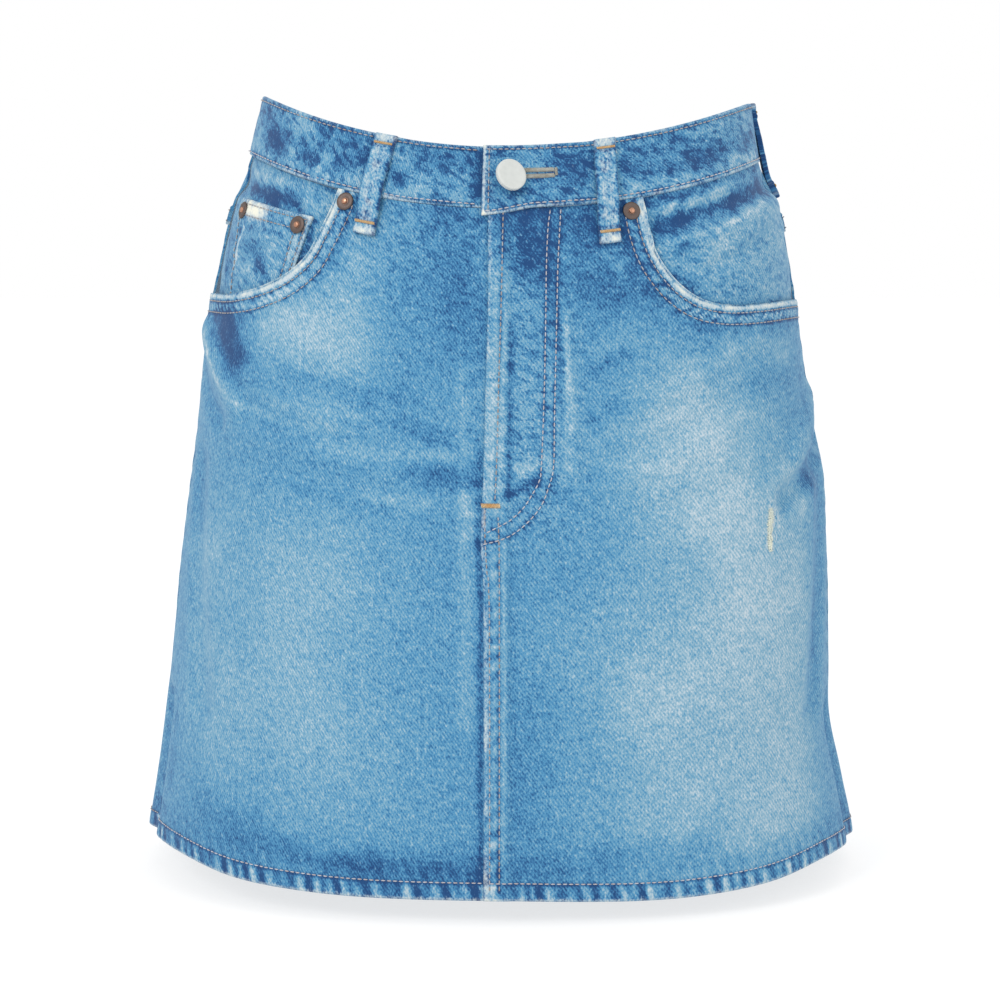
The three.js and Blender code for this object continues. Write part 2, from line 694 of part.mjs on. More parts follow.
// A belt loop: a folded strip over the waistband, sewn down above it and on the cloth below it.
function beltLoop(loop) {
  const { top, middle, bottom, end, layer } = loop;
  const length = BAND_HEIGHT + end;
  const stops = [0, LOOP_FOLD, LOOP_FOLD + STEP_LENGTH, 0.4 * length, 0.55 * length, BAND_HEIGHT,
    BAND_HEIGHT + LOOP_SETTLES, length - LOOP_FOLD - STEP_LENGTH, length - LOOP_FOLD, length];
  stops.sort((a, b) => a - b);
  const rows = stops.map((stop) => {
    const down = stop - BAND_HEIGHT;
    const share = stop / length;
    const folded = stop <= LOOP_FOLD || stop >= length - LOOP_FOLD;
    const thickness = folded ? LOOP_FOLD_CLOTH : LOOP_CLOTH;
    const onBand = 1 - ramp(0, LOOP_SETTLES, down);
    const bow = LOOP_BOW * Math.sin(Math.PI * share) ** 2;
    const level = SEAM_GAP + mix(layer, BAND_CLOTH / 2, onBand) + bow;
    return [-0.5, 0, 0.5].map((half) => {
      if (loop.turn !== null) {
        const middleTurn = radians(loop.turn);
        const height = waistSeam(middleTurn) - down;
        const width = half * LOOP_WIDTH / WAIST_MM_PER_DEGREE;
        const turn = radians(((loop.turn + width + 540) % 360) - 180);
        return cellAt({ turn, height }, level + thickness, thickness);
      }
      const centre = mix(mix(top, middle, share), mix(middle, bottom, share), share) + half * LOOP_WIDTH;
      const place = { side: Math.sign(centre), across: Math.abs(centre), down };
      return cellAt(settle(place), level + thickness, thickness);
    });
  });
  return wall([rows]);
}

// A shank button seen from above its axis: a neck and a dished disc with a round rim.
function buttonGeometry() {
  const top = BUTTON_NECK + BUTTON_DEPTH;
  const profile = [
    [0, 0],
    [BUTTON_NECK_RADIUS, 0],
    [BUTTON_NECK_RADIUS, BUTTON_NECK],
    [BUTTON_RADIUS - 0.8, BUTTON_NECK + 0.2],
    [BUTTON_RADIUS, BUTTON_NECK + 0.9],
    [BUTTON_RADIUS, top - 0.9],
    [BUTTON_RADIUS - 0.8, top],
    [BUTTON_RADIUS - 2.6, top],
    [BUTTON_RADIUS - 3.3, top - 0.6],
    [0, top - 0.6],
  ];
  return new THREE.LatheGeometry(profile.map(([radius, up]) => new THREE.Vector2(radius, up)), ROUND_SIDES);
}

function rivetGeometry() {
  const profile = [
    [0, 0],
    [RIVET_RADIUS, 0],
    [RIVET_RADIUS, 0.4],
    [RIVET_RADIUS - 1, 0.9],
    [RIVET_NUB_RADIUS + 0.3, 1],
    [RIVET_NUB_RADIUS, RIVET_HEIGHT - 0.2],
    [0, RIVET_HEIGHT],
  ];
  return new THREE.LatheGeometry(profile.map(([radius, up]) => new THREE.Vector2(radius, up)), RIVET_SIDES);
}

function piece(name, geometry, look) {
  const mesh = new THREE.Mesh(geometry, new THREE.MeshStandardMaterial(look));
  mesh.name = name;
  return mesh;
}

// Stands a turned piece on the cloth, its axis square to it and then tilted about the vertical.
function standOn(mesh, place, level, tilt) {
  const settled = settle(place);
  mesh.position.copy(cellAt(settled, level, 0).outer);
  const normal = ringNormal(settled.turn, settled.height);
  normal.applyAxisAngle(new THREE.Vector3(0, 0, 1), radians(tilt));
  mesh.quaternion.setFromUnitVectors(new THREE.Vector3(0, 1, 0), normal);
  return mesh;
}

const skirt = new THREE.Group();
skirt.name = 'denim_skirt';
skirt.add(piece('waistband', waistband(), DENIM));
for (const [side, wearer] of [[-1, 'right'], [1, 'left']]) {
  skirt.add(piece(`front_${wearer}`, frontPanel(side), DENIM));
  skirt.add(piece(`pocket_facing_${wearer}`, facing(side), DARK_DENIM));
  skirt.add(piece(`yoke_${wearer}`, yoke(side), DENIM));
  const back = backPanelAndPocket(side);
  skirt.add(piece(`back_${wearer}`, back.panel, DENIM));
  skirt.add(piece(`back_pocket_${wearer}`, back.pocket, DENIM));
}
skirt.add(piece('coin_pocket', coinPocket(), DARK_DENIM));
for (const loop of BELT_LOOPS) {
  skirt.add(piece(loop.name, beltLoop(loop), DENIM));
}

const button = piece('fly_button', buttonGeometry(), BUTTON);
const neckDip = BUTTON_NECK_RADIUS * Math.sin(radians(BUTTON_TILT));
const buttonLevel = OVERLAP_LIFT + BAND_CLOTH / 2 + neckDip + SEAM_GAP;
skirt.add(standOn(button, { side: 1, across: BUTTON_ACROSS, down: BUTTON_DOWN }, buttonLevel, BUTTON_TILT));

for (const { name, across, down, onCoinPocket } of RIVETS) {
  const level = onCoinPocket ? coinPocketLevel(-across, down) + RIVET_CLEARANCE : RIM_RAISE;
  const place = { side: Math.sign(across), across: Math.abs(across), down };
  skirt.add(standOn(piece(name, rivetGeometry(), COPPER), place, level + RIVET_CLEARANCE, 0));
}

export default skirt;
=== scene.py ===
"""A short, straight denim skirt in its worn shape, washed pale on the thighs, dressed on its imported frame.

Sizes are in millimetres until a mesh is made. Places on the cloth are named as a maker measures them: the way
across from the centre front, or from the centre back, and the way down from the seam under the waistband.
"""

import logging
import math
from dataclasses import dataclass, field
from enum import Enum
from typing import Callable, Sequence

import bmesh
import bpy
import numpy as np
from mathutils import Matrix, Vector


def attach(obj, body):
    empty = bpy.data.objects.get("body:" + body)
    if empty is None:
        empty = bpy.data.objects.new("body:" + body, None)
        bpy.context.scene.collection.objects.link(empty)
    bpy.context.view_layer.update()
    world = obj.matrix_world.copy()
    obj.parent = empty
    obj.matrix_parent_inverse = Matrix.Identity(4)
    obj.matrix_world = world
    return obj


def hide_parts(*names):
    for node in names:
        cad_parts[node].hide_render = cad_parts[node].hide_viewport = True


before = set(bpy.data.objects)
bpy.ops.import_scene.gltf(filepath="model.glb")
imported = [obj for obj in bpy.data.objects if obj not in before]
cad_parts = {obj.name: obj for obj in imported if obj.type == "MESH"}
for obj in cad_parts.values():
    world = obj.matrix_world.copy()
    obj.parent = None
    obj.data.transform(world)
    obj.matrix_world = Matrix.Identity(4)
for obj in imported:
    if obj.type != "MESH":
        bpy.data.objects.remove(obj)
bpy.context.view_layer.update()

Array = np.ndarray
MM = 0.001
BODY = "root"
log = logging.getLogger("skirt")

# Cloth thicknesses, gaps at seams and the steps that layers make.
CLOTH = 1.2
SEAM_GAP = 0.3
JOIN_GAP = 0.06
HALF_GAP = JOIN_GAP / 2
HEM_FOLD = 9.0
HEM_RAISE = 0.3
HEM_CLOTH = 3.0
HEM_ROUND = 1.3
FELL_WIDTH = 10.0
FELL_RAISE = 1.0
BAND_HEIGHT = 32.0
BAND_CLOTH = 3.0
BAND_ROUND = 1.25
RIM_WIDTH = 10.0
RIM_RAISE = 0.7
COIN_CLOTH = 1.0
LAYER_GAP = 0.5


class Side(Enum):
    """The wearer's sides, with the sign that X has there."""

    RIGHT = -1
    LEFT = 1

    @property
    def word(self) -> str:
        """The side's name in small letters."""
        return self.name.lower()


def table(columns: str, rows: Sequence[tuple[float, ...]]) -> dict[str, Array]:
    """A short table as named columns.

    Args:
        columns: the columns' names, with spaces between.
        rows: one tuple of numbers a row.

    Returns:
        Each column's numbers under its name.
    """
    return dict(zip(columns.split(), np.array(rows, float).T))


# The worn cloth at each height: half widths on the -X and +X sides, depths before and behind.
SECTIONS = table("height minus_x plus_x front back", [
    (-400, 201, 197, 158, 162),
    (-385, 199, 195, 156, 160),
    (-360, 195, 190, 153, 157),
    (-325, 190, 182.5, 148, 153),
    (-290, 185.5, 181.5, 143, 150),
    (-230, 179.5, 180, 134, 145),
    (-175, 172, 175.5, 127, 141),
    (-150, 169, 169.5, 124, 139),
    (-110, 165, 163.5, 120, 134),
    (-75, 157.6, 157.9, 116, 127),
    (-38, 148.3, 149.4, 110, 116),
    (-17, 139.8, 139.6, 103, 107),
    (0, 135.6, 136.3, 100, 103),
    (24, 129.8, 132.5, 96, 99),
])
BOXY = 0.16
WAIST_SEAM = {"minus_x": -14.5, "plus_x": -18.5, "front": -45.0, "back": -39.0}

# Height of the hem by degrees from the centre front, and the side seam's degrees by height.
HEM = table("turn height", [
    (-180, -392), (-130, -391), (-95, -389), (-76, -385.3), (-60, -387.2), (-45, -392.5), (-30, -395),
    (0, -396), (30, -397.4), (45, -395), (60, -390.5), (76, -390.5), (95, -393), (130, -392), (180, -392),
])
SIDE_SEAM = table("height turn", [(-400, 77.5), (-250, 81), (-100, 85), (0, 86)])

# The free edge of the fly and of the lapped seam under it, and the stitching beside it.
LAP_EDGE = table("down across", [
    (0, -8.4), (50, -8.5), (90, -9.6), (125, -10.4), (150, -11.4), (178, -12), (192, -10.9),
    (206, -10.8), (400, -10.8),
])
LAP_STRIP_END = 1.2
LAP_SLOPE = 1.4
LAP_RAISE = CLOTH + SEAM_GAP

SCOOP = {
    Side.RIGHT: table("across down", [
        (87, 0), (91.5, 11), (98.5, 25), (106, 38), (120, 50.8), (140, 61.8), (165, 70), (191, 74), (218, 76),
    ]),
    Side.LEFT: table("across down", [
        (71.5, 0), (73.5, 14), (79.5, 30.5), (90, 45.5), (104, 57), (122, 64), (148, 68.7), (179, 72.3),
        (214, 75.5),
    ]),
}
COIN_POCKET = table("across down", [(104, 17), (168.5, 20.5), (121, 58), (173, 78)])
BACK_POCKET_SIDES = table("down inner outer", [(0, 30, 160), (88, 34, 162), (209, 41, 155), (400, 50, 190)])
BACK_POCKET_TOP = (92.0, 84.0)
BACK_POCKET_BOTTOM = (212.0, 206.0)
BACK_POCKET_POINT = 16.0
YOKE_SIDE = 38.0
YOKE_CENTRE = 66.0

# The largest folds, as in the frame: a line by degrees and way down, half the fold's width, and its height.
FOLDS = table("turn down end_turn end_down reach height", [
    (-78, 94, -58, 124, 13, 3.2),
    (-85, 110, -64, 137, 11, -2.4),
    (84, 128, 64, 149, 13, 2.4),
    (86, 150, 57, 171.5, 12, -4.2),
    (-72, 166, -60, 283, 17, -2.6),
    (76.5, 168, 66, 286, 17, -2.6),
    (31, 15, 86, 11, 9, -2.4),
    (36, 27, 84, 22, 10, 1.6),
    (-88, 14, -47, 16, 9, -2.2),
    (-78, 300, -78, 385, 17, -4.5),
    (79, 300, 79, 385, 17, -4.5),
    (-102, 290, -106, 385, 30, 4.5),
    (103, 290, 107, 385, 30, 4.5),
    (-145, 280, -148, 385, 40, 5),
    (144, 275, 149, 385, 40, 5),
    (178, 290, 179, 385, 26, -3.5),
    (-112, 128, -150, 150, 14, -3.2),
    (110, 136, 146, 152, 14, -3.4),
    (-118, 152, -158, 172, 16, 2.4),
    (116, 158, 155, 176, 16, 2.2),
])

# Smaller creases that wear has set, in front and then alike behind.
CREASES = table("turn down end_turn end_down reach height", [
    (-70, 104, -30, 118, 6, 0.7),
    (-66, 120, -22, 128, 6, -0.6),
    (-62, 136, -14, 138, 7, 0.7),
    (-60, 152, -20, 149, 6, -0.5),
    (12, 148, 44, 128, 6, 0.6),
    (16, 132, 50, 108, 6, -0.6),
    (18, 112, 56, 84, 7, 0.7),
    (24, 160, 60, 150, 7, -0.6),
    (11.5, 56, 12.2, 138, 3.2, 0.9),
    (14.5, 60, 15, 140, 3.5, -0.4),
    (-50, 30, -66, 44, 7, 1.0),
    (-55, 44, -74, 60, 6, -0.9),
    (44, 44, 66, 36, 6, -0.8),
    (40, 38, 60, 30, 5, 0.7),
    (70, 44, 84, 34, 7, 1.0),
    (-12, 6, -30, 22, 6, 0.5),
    (-36, 96, -46, 132, 8, -0.5),
    (-168, 176, -130, 150, 7, -0.9),
    (-166, 190, -120, 168, 8, 0.8),
    (168, 178, 132, 152, 7, -0.9),
    (165, 194, 122, 172, 8, 0.8),
    (-100, 140, -92, 240, 9, -0.9),
    (100, 150, 93, 250, 9, -0.9),
])
MM_PER_DEGREE = 2.75


def smooth(x: Array, xs: Array, ys: Array) -> Array:
    """A smooth curve through a table's rows.

    Args:
        x: where the curve is wanted.
        xs: the rows' places, in rising order.
        ys: the rows' values.

    Returns:
        The curve's values.
    """
    slope = np.gradient(ys, xs)
    x = np.clip(x, xs[0], xs[-1])
    i = np.clip(np.searchsorted(xs, x) - 1, 0, len(xs) - 2)
    step = xs[i + 1] - xs[i]
    t = (x - xs[i]) / step
    rise = ys[i] + (ys[i + 1] - ys[i]) * t * t * (3 - 2 * t)
    return rise + step * t * (1 - t) * ((1 - t) * slope[i] - t * slope[i + 1])


def ramp(start: float, end: float, x: Array) -> Array:
    """A soft step from 0 at start to 1 at end."""
    t = np.clip((x - start) / (end - start), 0, 1)
    return t * t * (3 - 2 * t)


def fade(start: float, end: float, x: Array) -> Array:
    """A soft step from 1 at start to 0 at end."""
    return 1 - ramp(start, end, x)


def bell(away: Array, reach: float) -> Array:
    """A soft bump of height 1 that has faded at about twice its reach."""
    return np.exp(-((away / reach) ** 2))


def mix(a: Array, b: Array, share: Array) -> Array:
    """The value a share of the way from a to b."""
    return a + (b - a) * share


def rounding(away: Array, radius: float) -> Array:
    """How far a rounded edge falls away at a distance from the edge."""
    inner = np.clip(radius - away, 0, radius)
    return radius - np.sqrt(radius * radius - inner * inner)


def beside(x: Array, y: Array, way: Array) -> tuple[Array, Array]:
    """How places lie to a straight stretch.

    Args:
        x: the places' way across from the start of the stretch.
        y: the places' way down from its start.
        way: how far the stretch goes, across and down.

    Returns:
        The distance from the stretch, and the share of it at the nearest point.
    """
    share = np.clip((x * way[0] + y * way[1]) / max(float(way @ way), 1e-18), 0, 1)
    return np.hypot(x - way[0] * share, y - way[1] * share), share


class Noise:
    """Smooth random heights over a plane, between about -1 and 1."""

    SIZE = 128

    def __init__(self, seed: int) -> None:
        """Draws the grid of random heights from a seed."""
        self.grid = np.random.default_rng(seed).uniform(-1, 1, (self.SIZE, self.SIZE))

    def plain(self, x: Array, y: Array) -> Array:
        """One layer of heights at x and y, one grid step a unit."""
        i, j = np.floor(x).astype(int), np.floor(y).astype(int)
        u, v = ramp(0, 1, x - i), ramp(0, 1, y - j)
        i, j, k, m = i % self.SIZE, j % self.SIZE, (i + 1) % self.SIZE, (j + 1) % self.SIZE
        grid = self.grid
        return mix(mix(grid[i, j], grid[k, j], u), mix(grid[i, m], grid[k, m], u), v)

    def at(self, x: Array, y: Array, octaves: int = 1) -> Array:
        """Heights with finer layers added, each half as high as the one before."""
        x, y = np.broadcast_arrays(np.asarray(x, float), np.asarray(y, float))
        return sum(self.plain(x * 2**k + 7.3 * k, y * 2**k + 3.1 * k) / 2**k for k in range(octaves))


NOISE = Noise(11)


def pucker(along: Array, away: Array, pitch: float, reach: float, height: float, slant: float,
           seed: float) -> Array:
    """The small uneven ridges that sewing draws up beside a seam.

    Args:
        along: the way along the seam.
        away: the distance from the middle of the ridges.
        pitch: the usual distance between two ridges.
        reach: how far the ridges go to either side.
        height: the height of a full ridge.
        slant: how far a ridge leans along the seam for each millimetre away from it.
        seed: a number that sets this seam's ridges apart from others.

    Returns:
        The height of the ridges.
    """
    lean = along + slant * away
    turn = 2 * np.pi * lean / pitch + 2.6 * NOISE.at(lean / (2.3 * pitch), seed)
    strength = 0.62 + 0.38 * NOISE.at(along / (1.7 * pitch) + 50, seed + 9)
    return height * np.cos(turn) * strength * bell(away, reach)


@dataclass
class Spots:
    """Places on the cloth.

    Attributes:
        across: the way across, from the centre front or the centre back.
        down: the way down from the seam under the waistband.
        turn: radians from the centre front, positive towards +X.
        height: the height in the frame.
    """

    across: Array
    down: Array
    turn: Array
    height: Array


class Form:
    """The worn shape that every piece of cloth lies on."""

    LEVELS = np.arange(-420.0, 45.0, 5.0)
    BAND_MIDDLE = -7.0

    def __init__(self) -> None:
        """Measures the lengths round the shape at levels a few millimetres apart."""
        turn = np.radians(np.arange(-180, 181))
        points = self.ring(turn[None, :], self.LEVELS[:, None])
        steps = np.linalg.norm(np.diff(points, axis=1), axis=2)
        lengths = np.concatenate([np.zeros((len(steps), 1)), np.cumsum(steps, axis=1)], axis=1)
        self.lengths = lengths - lengths[:, 180:181]

    def ring(self, turn: Array, height: Array) -> Array:
        """Points of the plain shape, without folds.

        Args:
            turn: radians from the centre front.
            height: heights in the frame.

        Returns:
            The points, with their three coordinates last.
        """
        turn, height = np.broadcast_arrays(turn, height)
        minus_x, plus_x, front, back = (smooth(height, SECTIONS["height"], SECTIONS[key])
                                        for key in ("minus_x", "plus_x", "front", "back"))
        wide = np.where(turn >= 0, plus_x, minus_x)
        deep = np.where(np.abs(turn) <= np.pi / 2, front, back)
        sine, cosine = np.sin(turn), np.cos(turn)
        return np.stack([wide * sine, -deep * cosine * (1 + BOXY * sine * sine), height], -1)

    def normal(self, turn: Array, height: Array) -> Array:
        """Directions square to the plain shape, outwards."""
        step = 1e-3
        around = self.ring(turn + step, height) - self.ring(turn - step, height)
        rise = self.ring(turn, height + 1) - self.ring(turn, height - 1)
        square = np.cross(around, rise)
        return square / np.linalg.norm(square, axis=-1, keepdims=True)

    def length(self, turn: Array, height: Array) -> Array:
        """The length along the ring from the centre front.

        Args:
            turn: where the lengths end.
            height: the heights of the rings.

        Returns:
            The lengths, less than 0 towards -X.
        """
        row = (height - self.LEVELS[0]) / (self.LEVELS[1] - self.LEVELS[0])
        column = np.degrees(turn) + 180
        i = np.clip(np.floor(row).astype(int), 0, len(self.LEVELS) - 2)
        j = np.clip(np.floor(column).astype(int), 0, 359)
        a, b = row - i, column - j
        lower = mix(self.lengths[i, j], self.lengths[i, j + 1], b)
        return mix(lower, mix(self.lengths[i + 1, j], self.lengths[i + 1, j + 1], b), a)

    def full_length(self) -> float:
        """The length all round the middle of the waistband."""
        return 2 * float(self.length(np.array([np.pi]), np.array([self.BAND_MIDDLE]))[0])

    def turn_at(self, across: Array, height: Array, start: Array) -> Array:
        """The turn at which a length is reached.

        Args:
            across: the lengths from the centre front.
            height: the heights of the rings.
            start: a first guess, which is bettered step by step.

        Returns:
            The turns.
        """
        turn = start
        step = 0.01
        for _ in range(4):
            rate = (self.length(turn + step, height) - self.length(turn - step, height)) / (2 * step)
            turn = np.clip(turn - (self.length(turn, height) - across) / rate, -np.pi, np.pi)
        return turn

    def waist_seam(self, turn: Array) -> Array:
        """Height of the seam under the waistband."""
        side = np.where(turn >= 0, WAIST_SEAM["plus_x"], WAIST_SEAM["minus_x"])
        middle = np.where(np.abs(turn) <= np.pi / 2, WAIST_SEAM["front"], WAIST_SEAM["back"])
        return side + (middle - side) * np.cos(turn) ** 2

    def hem(self, turn: Array) -> Array:
        """Height of the hem."""
        return smooth(np.degrees(turn), HEM["turn"], HEM["height"])

    def spots(self, across: Array, down: Array, behind: int = 0) -> Spots:
        """Places by their way across and down.

        Args:
            across: the way across from the centre front, or outwards from the centre back.
            down: the way down from the seam under the waistband.
            behind: 0 in front; behind, the sign of X on that side.

        Returns:
            The places with their turns and heights.
        """
        across, down = np.broadcast_arrays(np.asarray(across, float), np.asarray(down, float))
        turn = np.full(across.shape, behind * 2.2) if behind else np.clip(across / 170, -2.2, 2.2)
        height = self.waist_seam(turn) - down
        for _ in range(6):
            way = across
            if behind:
                way = self.length(np.full(across.shape, behind * np.pi), height) - behind * across
            turn = self.turn_at(way, height, turn)
            height = self.waist_seam(turn) - down
        return Spots(across, down, turn, height)

    def side_seam(self, side: Side, down: Array) -> Array:
        """The side seam's way across from the centre front, with its sign."""
        turn = np.full(np.shape(down), side.value * 1.4)
        for _ in range(4):
            height = self.waist_seam(turn) - down
            turn = side.value * np.radians(smooth(height, SIDE_SEAM["height"], SIDE_SEAM["turn"]))
        return self.length(turn, self.waist_seam(turn) - down)

    def side_edge(self, side: Side, down: Array, behind: bool = False) -> Array:
        """Where a piece in front, or behind, ends beside the side seam."""
        return self.side_seam(side, down) + (side.value if behind else -side.value) * HALF_GAP

    def back_width(self, side: Side, down: Array) -> Array:
        """The way from the centre back to where a back piece ends at the side seam."""
        turn = np.full(np.shape(down), side.value * 1.45)
        height = self.waist_seam(turn) - down
        half = self.length(np.full(np.shape(down), side.value * np.pi), height)
        return np.abs(half - self.side_edge(side, down, True))

    def folds(self, spots: Spots) -> Array:
        """The height of the folds and creases that all layers share."""
        turn, down = np.degrees(spots.turn), self.waist_seam(spots.turn) - spots.height
        total = np.zeros(turn.shape)
        for rows in (FOLDS, CREASES):
            for start, top, end, bottom, reach, height in zip(*rows.values()):
                across = ((turn - start + 540) % 360 - 180) * MM_PER_DEGREE
                away, _ = beside(across, down - top, np.array([(end - start) * MM_PER_DEGREE, bottom - top]))
                total += height * np.clip(1 - (away / reach) ** 2, 0, 1) ** 2
        return total

    def place(self, spots: Spots, level: Array) -> Array:
        """Points at a level above the worn shape, folds included."""
        lift = level + self.folds(spots)
        return self.ring(spots.turn, spots.height) + self.normal(spots.turn, spots.height) * lift[..., None]


FORM = Form()


class Line:
    """A line on the cloth through places given as across and down."""

    def __init__(self, points: Array, fine: int = 8) -> None:
        """Runs a smooth line through the points, with fine steps between two of them."""
        points = np.asarray(points, float)
        if fine > 1:
            ends = np.vstack([2 * points[0] - points[1], points, 2 * points[-1] - points[-2]])
            t = np.linspace(0, 1, fine, endpoint=False)[:, None]
            parts = []
            for a, b, c, d in zip(ends, ends[1:], ends[2:], ends[3:]):
                parts.append(0.5 * (2 * b + (c - a) * t + (2 * a - 5 * b + 4 * c - d) * t**2
                                    + (3 * b - a - 3 * c + d) * t**3))
            points = np.vstack([*parts, points[-1:]])
        self.points = points
        self.reached = np.concatenate([[0], np.cumsum(np.linalg.norm(np.diff(points, axis=0), axis=1))])

    @property
    def long(self) -> float:
        """The line's length."""
        return float(self.reached[-1])

    def at(self, along: Array, aside: float = 0.0) -> tuple[Array, Array]:
        """Places on the line.

        Args:
            along: the ways along it.
            aside: how far the places are moved to its right, as seen going down.

        Returns:
            Their ways across and down.
        """
        across, down = (np.interp(along, self.reached, self.points[:, k]) for k in (0, 1))
        if aside:
            step = 0.5
            ahead = [np.interp(along + step, self.reached, self.points[:, k])
                     - np.interp(along - step, self.reached, self.points[:, k]) for k in (0, 1)]
            size = np.hypot(*ahead)
            across, down = across + aside * ahead[1] / size, down - aside * ahead[0] / size
        return across, down

    def measure(self, across: Array, down: Array) -> tuple[Array, Array]:
        """How far places lie from the line, and how far along it.

        Args:
            across: the places' way across.
            down: the places' way down.

        Returns:
            The distance from the line, and the way along it of its nearest point.
        """
        away = np.full(np.shape(across), np.inf)
        along = np.zeros(np.shape(across))
        for a, b, start in zip(self.points, self.points[1:], self.reached):
            apart, share = beside(across - a[0], down - a[1], b - a)
            near = apart < away
            away = np.where(near, apart, away)
            along = np.where(near, start + share * np.hypot(*(b - a)), along)
        return away, along


def mouth_line(side: Side) -> Line:
    """The edge of a pocket mouth, from the waist seam to the side seam."""
    rows = SCOOP[side]
    line = Line(np.stack([side.value * rows["across"], rows["down"]], -1), 12)
    seam = np.abs(FORM.side_seam(side, line.points[:, 1])) - HALF_GAP
    inside = np.abs(line.points[:, 0]) < seam
    return Line(line.points[inside], 1)


MOUTH = {side: mouth_line(side) for side in Side}


def srgb(code: str) -> tuple[float, float, float, float]:
    """A linear colour from an sRGB hex code."""
    parts = [int(code[i:i + 2], 16) / 255 for i in (1, 3, 5)]
    linear = [p / 12.92 if p <= 0.04045 else ((p + 0.055) / 1.055) ** 2.4 for p in parts]
    return (linear[0], linear[1], linear[2], 1.0)


# Settings that several nodes share.
FLAT = {"noise_dimensions": "2D"}
SOFT = {"interpolation_type": "SMOOTHSTEP"}
COLOURS = {"data_type": "RGBA"}


class Nodes:
    """A material's node tree, to which nodes are added with their settings and links."""

    def __init__(self, name: str) -> None:
        """Starts an empty material with an output."""
        self.material = bpy.data.materials.new(name)
        self.material.use_nodes = True
        self.tree = self.material.node_tree
        self.tree.nodes.clear()
        self.output = self.tree.nodes.new("ShaderNodeOutputMaterial")

    def add(self, kind: str, settings: dict | None = None, **inputs: object) -> bpy.types.Node:
        """Adds a node.

        Args:
            kind: the node's type, without its first word, ShaderNode.
            settings: the node's own settings.
            inputs: for each input, by name or as _0, _1 by number, a value or another node's output.

        Returns:
            The node.
        """
        node = self.tree.nodes.new("ShaderNode" + kind)
        for key, value in (settings or {}).items():
            setattr(node, key, value)
        for key, value in inputs.items():
            socket = node.inputs[int(key[1:])] if key[0] == "_" else node.inputs[key.replace("_", " ")]
            if isinstance(value, bpy.types.NodeSocket):
                self.tree.links.new(value, socket)
            else:
                socket.default_value = value
        return node

    def sum(self, *terms: tuple[object, float]) -> object:
        """Adds nodes that sum outputs, each times its weight.

        Args:
            terms: pairs of an output or a number and its weight.

        Returns:
            The sum's output.
        """
        total: object = 0.0
        for value, weight in terms:
            step = self.add("Math", {"operation": "MULTIPLY_ADD"}, _0=value, _1=weight, _2=total)
            total = step.outputs[0]
        return total

    def finish(self, shader: bpy.types.Node) -> bpy.types.Material:
        """Joins the shader to the output and gives the material."""
        self.tree.links.new(shader.outputs[0], self.output.inputs["Surface"])
        return self.material


